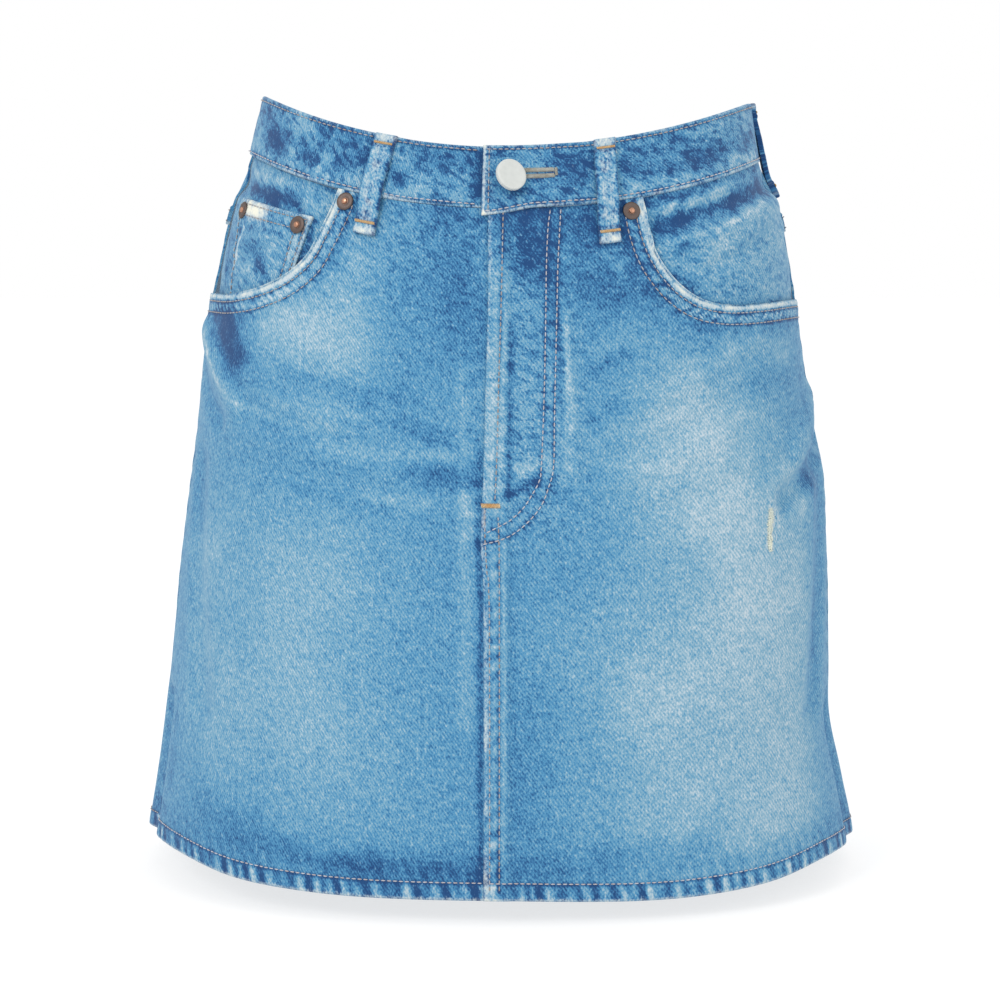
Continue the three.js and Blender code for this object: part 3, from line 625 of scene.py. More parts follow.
@dataclass(frozen=True)
class WashedDenim:
    """Indigo cotton twill, stone washed: matt and slightly hairy, with a white core where it is rubbed.

    Attributes:
        name: the material's name.
        stops: places along the wash from dark to pale, each with its colour.
        worn: the colour of rubbed edges.
        bare: the colour where only the white core is left.
        fleck: how strongly single threads differ from each other.
    """

    name: str
    stops: tuple[tuple[float, str], ...]
    worn: str = "#b7c2c5"
    bare: str = "#dddccd"
    fleck: float = 0.80

    # The real twill is 0.5 mm from line to line; at 1.5 mm it still shows in a picture of the whole skirt.
    TWILL_PITCH = 1.5 * MM
    FLECK_SIZE = 1.0 * MM
    SLUB_SIZE = 2.4 * MM
    MOTTLE_SIZE = 6 * MM
    WRINKLE_SIZE = 5.5 * MM
    SLUB = 0.36
    MOTTLE = 0.16
    TWILL = 0.15

    def material(self) -> bpy.types.Material:
        """Builds the material on the pieces' own cloth coordinates."""
        nodes = Nodes(self.name)
        cloth = nodes.add("UVMap", {"uv_map": "cloth"}).outputs["UV"]
        # This attribute carries the stone wash together with painted light on the crests and painted shade in
        # the hollows of folds, puckers and stitch grooves.
        wash = nodes.add("Attribute", {"attribute_name": "wash"}).outputs["Fac"]
        worn = nodes.add("Attribute", {"attribute_name": "worn"}).outputs["Fac"]
        leaning = nodes.add("Mapping", _0=cloth, Rotation=(0, 0, math.radians(-38))).outputs[0]
        twill = nodes.add("TexWave", {"wave_type": "BANDS", "bands_direction": "X"}, Vector=leaning,
                          Scale=math.pi / (10 * self.TWILL_PITCH), Distortion=1.2, Detail=1.0,
                          Detail_Scale=0.6).outputs["Fac"]
        stretched = nodes.add("Mapping", _0=cloth, Scale=(1, 0.62, 1)).outputs[0]
        fleck = nodes.add("TexNoise", FLAT, Vector=stretched,
                          Scale=1 / self.FLECK_SIZE, Detail=2.0, Roughness=0.62).outputs["Fac"]
        slub = nodes.add("TexNoise", FLAT, Vector=stretched,
                         Scale=1 / self.SLUB_SIZE, Detail=2.0, Roughness=0.5).outputs["Fac"]
        mottle = nodes.add("TexNoise", FLAT, Vector=cloth,
                           Scale=1 / self.MOTTLE_SIZE, Detail=3.0, Roughness=0.55).outputs["Fac"]
        centre = -0.5 * (self.fleck + self.SLUB + self.MOTTLE + self.TWILL)
        tone = nodes.sum((1.0, centre), (wash, 1.0), (fleck, self.fleck), (slub, self.SLUB),
                         (mottle, self.MOTTLE), (twill, self.TWILL), (self.wrinkles(nodes, cloth), 1.0))
        colours = nodes.add("ValToRGB", _0=tone)
        ends = colours.color_ramp.elements
        while len(ends) < len(self.stops):
            ends.new(0.5)
        for end, (place, code) in zip(ends, self.stops):
            end.position = place
            end.color = srgb(code)
        rubbed = nodes.sum((worn, 1.0), (fleck, 0.9), (slub, 0.6), (1.0, -0.75))
        cover = nodes.add("MapRange", SOFT, _0=rubbed, _1=0.1,
                          _2=1.0).outputs[0]
        core = nodes.add("MapRange", _0=rubbed, _1=0.75, _2=1.35).outputs[0]
        pale = nodes.add("Mix", COLOURS, _0=core, _6=srgb(self.worn),
                         _7=srgb(self.bare)).outputs[2]
        colour = nodes.add("Mix", COLOURS, _0=cover, _6=colours.outputs[0],
                           _7=pale).outputs[2]
        threads = nodes.sum((twill, 0.5), (fleck, 0.7))
        bump = nodes.add("Bump", Height=threads, Strength=0.35, Distance=0.25 * MM).outputs[0]
        shader = nodes.add("BsdfPrincipled", Base_Color=colour, Roughness=0.88, Normal=bump, IOR=1.46,
                           Specular_IOR_Level=0.22, Sheen_Weight=0.18, Sheen_Roughness=0.5,
                           Sheen_Tint=srgb("#dfe8f0"))
        return nodes.finish(shader)

    def wrinkles(self, nodes: Nodes, cloth: object) -> object:
        """The pale crests that wear leaves on small wrinkles, and painted shade in their hollows."""
        crackle = nodes.add("Attribute", {"attribute_name": "crackle"}).outputs["Fac"]
        drawn = nodes.add("Mapping", {"vector_type": "TEXTURE"}, _0=cloth,
                          Rotation=(0, 0, math.radians(-22)), Scale=(1.5, 0.62, 1))
        height = nodes.add("TexNoise", FLAT, Vector=drawn.outputs[0],
                           Scale=1 / self.WRINKLE_SIZE, Detail=3.0, Roughness=0.62,
                           Distortion=0.25).outputs["Fac"]
        apart = nodes.add("Math", {"operation": "ABSOLUTE"}, _0=nodes.sum((height, 1.0), (1.0, -0.52)))
        crest = nodes.add("MapRange", SOFT, _0=apart.outputs[0], _1=0.0,
                          _2=0.05, _3=1.0, _4=0.0).outputs[0]
        # The crest lines are pale wear; the height's broad dark and pale paints the wrinkles' shade and
        # light.
        marks = nodes.sum((crest, 0.34), (height, 1.35), (1.0, -0.75))
        return nodes.add("Math", {"operation": "MULTIPLY"}, _0=marks, _1=crackle).outputs[0]


@dataclass(frozen=True)
class SewingThread:
    """Spun polyester and cotton thread, matt and faded by washing.

    Attributes:
        name: the material's name.
        colour: its main colour.
        faded: the colour that it has faded to in places.
    """

    name: str
    colour: str
    faded: str

    def material(self) -> bpy.types.Material:
        """Builds the material on Object coordinates, with the twist of the plies as bump."""
        nodes = Nodes(self.name)
        place = nodes.add("TexCoord").outputs["Object"]
        patch = nodes.add("TexNoise", Vector=place, Scale=1 / (5 * MM), Detail=2.0).outputs["Fac"]
        cover = nodes.add("MapRange", _0=patch, _1=0.35, _2=0.65).outputs[0]
        colour = nodes.add("Mix", COLOURS, _0=cover, _6=srgb(self.colour),
                           _7=srgb(self.faded)).outputs[2]
        plies = nodes.add("TexNoise", Vector=place, Scale=1 / (0.35 * MM), Detail=1.0).outputs["Fac"]
        bump = nodes.add("Bump", Height=plies, Strength=0.4, Distance=0.1 * MM).outputs[0]
        shader = nodes.add("BsdfPrincipled", Base_Color=colour, Roughness=0.8, Normal=bump, IOR=1.5,
                           Specular_IOR_Level=0.3, Sheen_Weight=0.15)
        return nodes.finish(shader)


@dataclass(frozen=True)
class BrownedCopper:
    """Stamped copper, browned by wear, bright where a cuff or a thumb rubs it."""

    name: str = "browned_copper"
    dull: str = "#665b57"
    bright: str = "#b98a70"

    def material(self) -> bpy.types.Material:
        """Builds the material with its polish from the piece's own attribute."""
        nodes = Nodes(self.name)
        place = nodes.add("TexCoord").outputs["Object"]
        polish = nodes.add("Attribute", {"attribute_name": "polish"}).outputs["Fac"]
        spots = nodes.add("TexNoise", Vector=place, Scale=1 / (1.4 * MM), Detail=3.0).outputs["Fac"]
        shine = nodes.sum((polish, 0.85), (spots, 0.4), (1.0, -0.2))
        colour = nodes.add("Mix", COLOURS, _0=shine, _6=srgb(self.dull),
                           _7=srgb(self.bright)).outputs[2]
        rough = nodes.add("MapRange", _0=shine, _3=0.55, _4=0.28).outputs[0]
        bump = nodes.add("Bump", Height=spots, Strength=0.2, Distance=0.1 * MM).outputs[0]
        shader = nodes.add("BsdfPrincipled", Base_Color=colour, Metallic=1.0, Roughness=rough, Normal=bump)
        return nodes.finish(shader)


@dataclass(frozen=True)
class PearlEnamel:
    """Cast zinc under plain off-white enamel: smooth, with a soft gloss."""

    name: str = "pearl_enamel"
    colour: str = "#c7cac6"
    shade: str = "#b9bcb9"

    def material(self) -> bpy.types.Material:
        """Builds the material with faint clouds in the enamel."""
        nodes = Nodes(self.name)
        place = nodes.add("TexCoord").outputs["Object"]
        cloud = nodes.add("TexNoise", Vector=place, Scale=1 / (3 * MM), Detail=2.0).outputs["Fac"]
        colour = nodes.add("Mix", COLOURS, _0=cloud, _6=srgb(self.colour),
                           _7=srgb(self.shade)).outputs[2]
        rough = nodes.add("MapRange", _0=cloud, _3=0.38, _4=0.5).outputs[0]
        shader = nodes.add("BsdfPrincipled", Base_Color=colour, Roughness=rough, IOR=1.5)
        return nodes.finish(shader)


WASH_STOPS = ((0.0, "#1b4270"), (0.2, "#2e6390"), (0.4, "#4884aa"), (0.6, "#6c98b0"), (0.8, "#91acbb"),
              (1.0, "#b3c0c8"))
REVERSE_STOPS = ((0.0, "#5f7f9b"), (0.5, "#93a9ba"), (1.0, "#bcc8d0"))


class Finish(Enum):
    """The finishes of the skirt, built once each."""

    DENIM = WashedDenim("washed_denim", WASH_STOPS)
    REVERSE = WashedDenim("denim_reverse", REVERSE_STOPS, "#ccd2d4", fleck=0.5)
    THREAD = SewingThread("thread_brown_grey", "#928680", "#a0a3a9")
    PALE_THREAD = SewingThread("thread_pale", "#a8a1a3", "#b1b4bc")
    BUTTONHOLE = SewingThread("thread_olive", "#8c887c", "#a3a49c")
    TACK = SewingThread("thread_gold", "#b98f5b", "#c6ac84")
    FRAYED = SewingThread("weft_frayed", "#dcdfcf", "#c6cec5")
    COPPER = BrownedCopper()
    PEARL = PearlEnamel()


BUILT: dict[Finish, bpy.types.Material] = {}


def material_of(finish: Finish) -> bpy.types.Material:
    """The finish's material, built when it is first asked for."""
    if finish not in BUILT:
        BUILT[finish] = finish.value.material()
    return BUILT[finish]


def deselect() -> None:
    """Leaves object mode's selection empty."""
    for thing in bpy.context.selected_objects:
        thing.select_set(False)


def take(piece: bpy.types.Object) -> None:
    """Makes a piece the only selected one, and the active one."""
    deselect()
    piece.select_set(True)
    bpy.context.view_layer.objects.active = piece


def make_mesh(name: str, points: Array, faces: Sequence, finishes: Sequence[Finish], slots: Array | None,
              layers: dict[str, Array], uv: Array | None) -> bpy.types.Object:
    """Makes a mesh object at the origin.

    Args:
        name: the object's name.
        points: vertices in millimetres.
        faces: each face's vertex numbers.
        finishes: the finishes in the order of the material slots.
        slots: each face's slot, or None for the first.
        layers: values for each vertex, under their attribute's name.
        uv: cloth coordinates in metres for each vertex, or None.

    Returns:
        The object.
    """
    mesh = bpy.data.meshes.new(name)
    mesh.from_pydata((points * MM).tolist(), [], [list(face) for face in faces])
    for finish in finishes:
        mesh.materials.append(material_of(finish))
    if slots is not None:
        mesh.polygons.foreach_set("material_index", np.asarray(slots, np.int32))
    mesh.polygons.foreach_set("use_smooth", np.ones(len(mesh.polygons), bool))
    for key, values in layers.items():
        attribute = mesh.attributes.new(key, "FLOAT", "POINT")
        attribute.data.foreach_set("value", values.astype(np.float32).ravel())
    if uv is not None:
        corners = np.zeros(len(mesh.loops), np.int32)
        mesh.loops.foreach_get("vertex_index", corners)
        mesh.uv_layers.new(name="cloth").data.foreach_set("uv", uv[corners].astype(np.float32).ravel())
    mesh.update()
    piece = bpy.data.objects.new(name, mesh)
    bpy.context.scene.collection.objects.link(piece)
    return piece


@dataclass
class Cloth:
    """A piece of cloth laid on the worn form as a closed thin wall.

    Attributes:
        node: the frame's node that it stands for.
        slot: the record's material slot; not used.
        flat: width and length that it is cut to, in metres; not used.
        share: how much of that rectangle the cut fills; not used.
        behind: 0 in front; behind, the sign of X on that side.
        seed: a number that sets this piece's noise apart from others.
        creased: how plainly its small wrinkles are marked, pale on their worn crests and with painted shade
            in their hollows, from 0 to 1.
        sewn: the meshes of thread that lie on it.
    """

    node: str
    slot: str
    flat: tuple[float, float]
    share: float = 1.0
    behind: int = 0
    seed: float = 0.0
    creased: float = 0.16
    sewn: list[bpy.types.Object] = field(default_factory=list)

    @property
    def name(self) -> str:
        """The piece's name, from its node's."""
        return "cloth_" + self.node.replace("pocket_facing", "facing").replace("belt_loop", "loop")

    def spots(self, across: Array, down: Array) -> Spots:
        """Places on this piece."""
        return FORM.spots(across, down, self.behind)

    def grid(self) -> Spots:
        """The places of the wall's points, rows running down."""
        raise NotImplementedError

    def layers(self, spots: Spots) -> Array:
        """The level of the outer face that the layers of cloth give."""
        return np.zeros(spots.turn.shape)

    def relief(self, spots: Spots) -> Array:
        """The fine relief on top of the layers."""
        return 0.25 * NOISE.at(spots.across / 34 + self.seed, spots.down / 30, 2)

    def thickness(self, spots: Spots) -> Array:
        """The wall's thickness."""
        return np.full(spots.turn.shape, CLOTH)

    def looks(self, spots: Spots, relief: Array) -> tuple[Array, Array]:
        """How pale the wash is, with painted light and shade of the relief added, from 0 to 1, and how worn
        the cloth is.
        """
        return np.full(spots.turn.shape, 0.5), np.zeros(spots.turn.shape)

    def crackle(self, spots: Spots) -> Array:
        """How plainly the small wrinkles are marked at each place."""
        return np.full(spots.turn.shape, self.creased)

    def surface(self, spots: Spots, lift: Array | float) -> Array:
        """Points above the outer face."""
        return FORM.place(spots, self.layers(spots) + self.relief(spots) + lift)

    def build(self) -> bpy.types.Object:
        """Builds the wall, dresses it, and hides the frame's part that it stands for.

        Returns:
            The object.
        """
        spots = self.grid()
        relief = self.relief(spots)
        outer = FORM.place(spots, self.layers(spots) + relief)
        normal = FORM.normal(spots.turn, spots.height)
        inner = outer - normal * self.thickness(spots)[..., None]
        wash, worn = self.looks(spots, relief)
        rows, columns = spots.turn.shape
        count = rows * columns
        number = np.arange(count).reshape(rows, columns)
        corners = [number[:-1, :-1], number[1:, :-1], number[1:, 1:], number[:-1, 1:]]
        quads = np.stack(corners, -1).reshape(-1, 4)
        border = np.concatenate([number[0, :-1], number[:-1, -1], number[-1, :0:-1], number[:0:-1, 0]])
        after = np.roll(border, -1)
        edge = np.stack([border, after, after + count, border + count], -1)
        faces = np.concatenate([quads, quads[:, ::-1] + count, edge])
        points = np.concatenate([outer.reshape(-1, 3), inner.reshape(-1, 3)])
        a, b, c, d = (points[faces[:, k]] for k in range(4))
        volume = np.einsum("ij,ij->", a, np.cross(b, c)) + np.einsum("ij,ij->", a, np.cross(c, d))
        if volume < 0:
            faces = faces[:, ::-1]
        slots = np.concatenate([np.zeros(len(quads)), np.ones(len(quads)), np.zeros(len(edge))])
        uv = np.stack([spots.across, -spots.down], -1).reshape(-1, 2) * MM + self.seed * 0.137
        # The first attribute holds the wash with its painted light and shade, the second the worn white, the
        # third how plainly the small wrinkles show.
        shown = {"wash": wash, "worn": worn, "crackle": self.crackle(spots)}
        layers = {key: np.tile(values.ravel(), 2) for key, values in shown.items()}
        finishes = [Finish.DENIM, Finish.REVERSE]
        piece = make_mesh(self.name, points, faces, finishes, slots, layers, np.tile(uv, (2, 1)))
        take(piece)
        bpy.ops.object.shade_smooth_by_angle(angle=math.radians(55))
        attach(piece, BODY)
        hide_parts(self.node)
        log.info("%s: %d faces", self.name, len(faces))
        return piece

    def declare(self, piece: bpy.types.Object, rests_on: Sequence[str]) -> None:
        """Does nothing with the piece or with what it hangs from."""


def between(top: Array, bottom: Array, head: Sequence[float], foot: Sequence[float],
            middle: int) -> Array:
    """Rows of ways down from a top line to a bottom line, close together at both ends.

    Args:
        top: each column's way down at the top.
        bottom: each column's way down at the bottom.
        head: distances of the first rows from the top.
        foot: distances of the last rows from the bottom, from the largest to 0.
        middle: how many rows lie between.

    Returns:
        The ways down, a row for each.
    """
    rows = [top + way for way in head]
    first, last = rows[-1], bottom - foot[0]
    rows += [mix(first, last, share) for share in np.linspace(0, 1, middle + 2)[1:-1]]
    rows += [bottom - way for way in foot]
    return np.stack(rows)


def hem_down(across_of: Callable[[Array], Array], start: Array, behind: int = 0) -> Array:
    """The way down to the hem in each column.

    Args:
        across_of: gives the columns' way across at their ways down.
        start: a first guess for each column.
        behind: 0 in front; behind, the sign of X on that side.

    Returns:
        The ways down.
    """
    down = start
    for _ in range(5):
        spots = FORM.spots(across_of(down), down, behind)
        down = down + spots.height - FORM.hem(spots.turn)
    return down


# A first guess of the ways down to the hem, the rows of points near edges, and the rows of stitches.
FRONT_LENGTH = 348.0
BACK_LENGTH = 352.0
HEM_ROWS = (14, 12.4, 10.8, 9.6, 9.0, 8.3, 7.2, 6.0, 4.8, 3.6, 2.5, 1.6, 0.9, 0.35, 0)
TOP_ROWS = (0, 0.3, 0.8, 1.5, 2.4, 3.4, 4.6, 6.0, 7.4, 8.8, 10.2)
RIM_STITCHES = (3.7, 9.4)
FELL_STITCHES = (2.4, 8.2)

# The stitching that curves round the fly, as across and down.
FLY_CURVES = (
    [(23.6, 1), (22.2, 12.6), (21.4, 35), (21.3, 47), (20.5, 90), (18.9, 132), (17.5, 140), (13.6, 147),
     (9.5, 153), (2.9, 159), (-4.3, 163), (-9.4, 165.6)],
    [(29, 1), (27.5, 28), (27, 48), (25.7, 106), (25.2, 132), (22.7, 142.5), (18.8, 152), (12.1, 160),
     (4.4, 166), (-2.2, 169), (-11.3, 171.5)],
)
FLY_LINES = [Line(np.array(rows), 4) for rows in FLY_CURVES]
FLY_EDGE_STITCH = Line(np.array([(-0.6, 1), (-1.6, 47), (-2.9, 89), (-3.7, 123), (-4.8, 149)]), 3)
SEAM_STITCHES = (
    Line(np.array([(-10, 153), (-9.9, 168), (-8.9, 186), (-7.6, 206), (-7.5, 346)]), 2),
    Line(np.array([(-3.9, 158), (-2.6, 176), (-2.6, 346)]), 2),
)
LAP_STITCHES = (*FLY_LINES, FLY_EDGE_STITCH, *SEAM_STITCHES)

# Where the wash is paler or darker, and in some rows where shade or light is painted: a line, how far it
# fades to either side, and how much paler it is.
PATCHES = "across down end_across end_down reach paler"
FRONT_WASH_AND_SHADE = table(PATCHES, [
    (-118, 70, -96, 76, 25, 0.30), (-78, 30, -80, 60, 12, 0.10), (-110, 212, -108, 275, 46, 0.18),
    (-168, 200, -166, 300, 20, 0.10), (-192, 212, -188, 285, 12, 0.14), (-84, 194, -64, 204, 20, 0.04),
    # The last row here and both rows on the next line paint light along the ridge of the crease on the right
    # hip.
    (-168, 84, -160, 98, 11, -0.44), (-184, 88, -171, 92, 8, -0.22), (-195, 97, -184, 104, 2.2, 0.24),
    (-184, 104, -171, 117, 2.2, 0.26), (-171, 117, -150, 124, 2.6, 0.16),
    (-118, 100, -46, 100, 4.2, -0.10), (-72, 108, -28, 120, 4.5, -0.13),
    (-126, 117, -60, 110, 3.6, 0.10), (-150, 124, -90, 122, 3.4, 0.12),
    (-96, 131, -30, 128, 3.4, 0.13), (-120, 139, -70, 141, 3.2, -0.05),
    (-110, 156, -60, 160, 4, -0.08), (-48, 136, -20, 140, 6, -0.20), (-70, 153, -38, 152, 4, 0.11),
    (-30, 10, -22, 60, 17, -0.19), (-52, 45, -48, 90, 14, -0.04), (-24, 205, -26, 330, 16, -0.03),
    # Painted shadow beside the fly's edge: the rows at about -12 to -14 across here and on the next two
    # lines.
    (-12.4, 196, -12.4, 346, 1.4, -0.34), (-0.3, 172, -0.5, 346, 1.0, 0.16),
    (4, 176, 4, 345, 3.5, -0.07), (-3, 3, -3, 24, 5, -0.26), (-12.5, 126, -13.5, 170, 2.2, -0.20),
    (-14, 168, -12.2, 196, 1.5, -0.30), (-19.5, 172, -20, 262, 4, 0.12),
    (-22.5, 66, -21, 150, 1.8, 0.12), (-19, 148, -19, 166, 5, 0.18), (-180, 334, -70, 341, 9, -0.13),
    (-80, 338, -14, 337, 8, -0.15), (12, 2, 15, 28, 12, -0.40), (24, 3, 25, 60, 5, -0.16),
    # Painted shadow in the fold under the end of the fly's curved stitching (2 to 17 across), and on the next
    # line a painted shadow groove beside the fly's strip (1.8 to 3.6 across).
    (12, 84, 13, 128, 6, 0.04), (2, 146, 17, 139.5, 2.4, -0.34), (23, 144, 29, 147, 3, -0.16),
    (7, 133, 24, 130, 4, 0.18), (0, 14, -2, 128, 3.2, 0.08), (3.6, 60, 1.8, 146, 1.5, -0.30),
    (30.6, 50, 33.4, 94, 1.6, 0.28), (33.6, 94, 33, 138, 3.4, 0.16), (28.8, 62, 29.4, 108, 1.6, -0.18),
    (40, 6, 62, 8, 13, -0.12), (46, 12, 60, 20, 15, -0.20), (44, 42, 74, 46, 13, -0.18),
    (46, 77, 62, 72, 4.5, 0.06), (48, 84, 62, 79, 4, -0.18), (86, 68, 110, 78, 9, -0.12),
    (57, 28, 61, 34, 5, 0.16), (96, 112, 112, 160, 30, 0.30), (112, 126, 150, 124, 14, 0.08),
    (140, 175, 118, 218, 30, 0.16), (70, 144, 76, 162, 20, 0.12), (49, 212, 60, 250, 26, 0.08),
    (80, 204, 84, 250, 26, 0.08), (88, 264, 86, 322, 34, 0.22), (152, 225, 154, 330, 36, 0.28),
    (126, 86, 172, 97, 9, 0.12), (140, 108, 176, 112, 6, -0.06), (66, 157, 108, 152, 6, -0.05),
    (44, 110, 84, 102, 3, -0.09), (44, 120, 90, 114, 3.5, 0.08), (42, 130, 92, 140, 4, 0.08),
    (38, 146, 60, 142, 4, -0.04), (14, 196, 34, 196, 12, -0.04), (12, 250, 16, 330, 14, -0.08),
    (196, 110, 200, 260, 4, -0.10), (164, 158, 178, 178, 9, 0.18), (190, 166, 205, 174, 6, -0.16),
    (174, 200, 178, 310, 14, 0.07), (50, 330, 106, 334, 8, -0.13), (-210, 300, -214, 335, 5, -0.12),
])
# Painted shade along the troughs of the facings' folds and painted light along their ridges, and on the right
# facing the painted shadow beside the coin pocket's inner edge.
FACING_WASH_AND_SHADE = {
    Side.LEFT: table(PATCHES, [
        (73, 3, 94, 5.5, 3, -0.34), (94, 5, 120, 2, 2.5, -0.22), (84, 7.5, 127, 6.5, 3.2, 0.17),
        (87, 10, 92, 6, 1.3, 0.24), (77, 20, 95, 14.5, 6.2, -0.40), (95, 14.5, 131, 13, 3.8, -0.40),
        (131, 13, 163, 11, 4.2, -0.42), (103, 25, 128, 23, 1.7, 0.30), (128, 23, 160, 18, 1.5, 0.26),
        (79, 25.5, 93, 26, 2.2, 0.16), (95, 31, 97, 34, 3.5, -0.20), (112, 36, 160, 37, 12, 0.10),
        (92, 28, 108, 30, 6, -0.13), (90, 42, 101, 52, 4, -0.18), (163, 6, 176, 15, 6, -0.36),
    ]),
    Side.RIGHT: table(PATCHES, [
        (-163, 7, -124, 6, 3.4, 0.20), (-182, 20, -178, 52, 6, -0.16),
        (-167, 15, -137, 15, 4.8, -0.48), (-137, 15, -117, 12, 4.0, -0.42),
        (-108, 8, -92, 11, 5, 0.10), (-190, 45, -186, 66, 5, -0.26),
        (-103.2, 19, -118.5, 55, 1.8, -0.40), (-99, 20, -97, 30, 3, 0.10),
    ]),
}
# The first two rows paint the shadow under the pocket's hemmed top.
COIN_WASH_AND_SHADE = table(PATCHES, [
    (-137, 32, -123, 31, 2.2, -0.36), (-154, 33, -142, 32, 1.8, -0.22), (-156, 40, -146, 40, 4, -0.14),
    (-142, 49, -135, 55, 5, -0.28), (-160, 35, -165, 48, 1.4, 0.44), (-165, 48, -173, 60, 1.4, 0.44),
    (-164, 36, -170, 52, 1.8, -0.22), (-130, 40, -132, 58, 5, 0.12), (-152, 46, -150, 56, 6, 0.08),
])
BAND_WASH = table(PATCHES, [
    (-146, -14, -134, -13, 4, -0.30), (-122, -17, -112, -15, 3.5, -0.28),
    (-130, -8, -112, -8, 5, -0.14), (-104, -11, -88, -10, 3, -0.26), (-60, -20, -46, -16, 6, -0.28),
    (-158, -6, -100, -5, 4, 0.14), (-150, -27, -110, -25, 6, 0.06), (-52, -6, -34, -6, 5, 0.16),
    (-24, -9, -17, -10, 4, -0.16), (-10, -22, -8, -8, 5, 0.08), (36, -20, 38, -6, 8, -0.26),
    (10, -24, 24, -23, 4, -0.20), (34, -13, 60, -10, 7, -0.14), (14, -6, 26, -7, 5, -0.10),
    (64, -4, 165, -4, 3.6, 0.20), (66, -13, 112, -9, 4.5, -0.26), (100, -14, 150, -15, 4, -0.10),
    (80, -24, 150, -25, 5, 0.05),
])


def wash_of(rows: dict[str, Array], across: Array, down: Array, broken: float = 0.35) -> Array:
    """How much a table's lines pale or darken the cloth.

    Args:
        rows: the table of lines.
        across: the places' way across.
        down: the places' way down.
        broken: how unevenly the lines fade.

    Returns:
        The change of the wash.
    """
    total = np.zeros(np.shape(across))
    for x, y, end_x, end_y, reach, paler in zip(*rows.values()):
        away, _ = beside(across - x, down - y, np.array([end_x - x, end_y - y]))
        rough = min(reach, 14.0)
        uneven = 1 + broken * min(1.0, 9 / reach) * NOISE.at(across / rough + x, down / (0.7 * rough) + y, 2)
        frayed = away + 0.35 * rough * NOISE.at(across / (0.8 * rough) + y, down / (0.8 * rough) + x, 2)
        total += paler * uneven * bell(np.maximum(frayed, 0), reach)
    return total


@dataclass
class Panel(Cloth):
    """A piece that ends below in the turned and stitched hem."""

    def above_hem(self, spots: Spots) -> Array:
        """How far places lie above the hem."""
        return spots.height - FORM.hem(spots.turn)

    def hem_layers(self, spots: Spots) -> Array:
        """The level that the turned hem adds, with its lower edge rounded."""
        above = self.above_hem(spots)
        return HEM_RAISE * fade(HEM_FOLD - 0.4, HEM_FOLD + 1.0, above) - rounding(above, HEM_ROUND)

    def hem_relief(self, spots: Spots) -> Array:
        """The uneven ridges along the hem, and the groove that its stitches draw."""
        above = self.above_hem(spots)
        ropes = pucker(spots.across, above - 4, 8.4, 4.8, 0.32, 0.22, 3 + self.seed)
        ropes += pucker(spots.across, above - 4, 13.5, 4.8, 0.24, 0.15, 5 + self.seed)
        higher = pucker(spots.across, above - 13, 9, 6, 0.16, 0.3, 4 + self.seed)
        return ropes + higher - 0.28 * bell(above - HEM_FOLD, 0.9)

    def thickness(self, spots: Spots) -> Array:
        """The cloth's thickness, doubled in the hem and rounded at its edge."""
        above = self.above_hem(spots)
        thick = mix(HEM_CLOTH, CLOTH, ramp(HEM_FOLD - 0.5, HEM_FOLD + 1.5, above))
        return thick - 1.7 * rounding(above, HEM_ROUND) / HEM_ROUND

    def hem_looks(self, spots: Spots, relief: Array) -> tuple[Array, Array]:
        """How the hem's wash and wear differ from the panel's, with painted light on the hem's ridges and
        painted shade between them.
        """
        above = self.above_hem(spots)
        within = fade(8.5, 9.5, above)
        band = bell(above - 15, 7)
        # Inside the hem, painted light on the ridges and painted shade between them, over the pale wear of
        # the ridges.
        wash = -0.14 * within - 0.10 * band + within * 0.75 * relief
        worn = 0.50 * bell(above - 0.6, 1.1) + 1.5 * within * np.clip(relief - 0.05, 0, 1)
        return wash, worn


def scuff_middle(down: Array) -> Array:
    """The way across of the torn place's wavy middle."""
    return 149.3 + 0.9 * np.sin(down / 3.4)


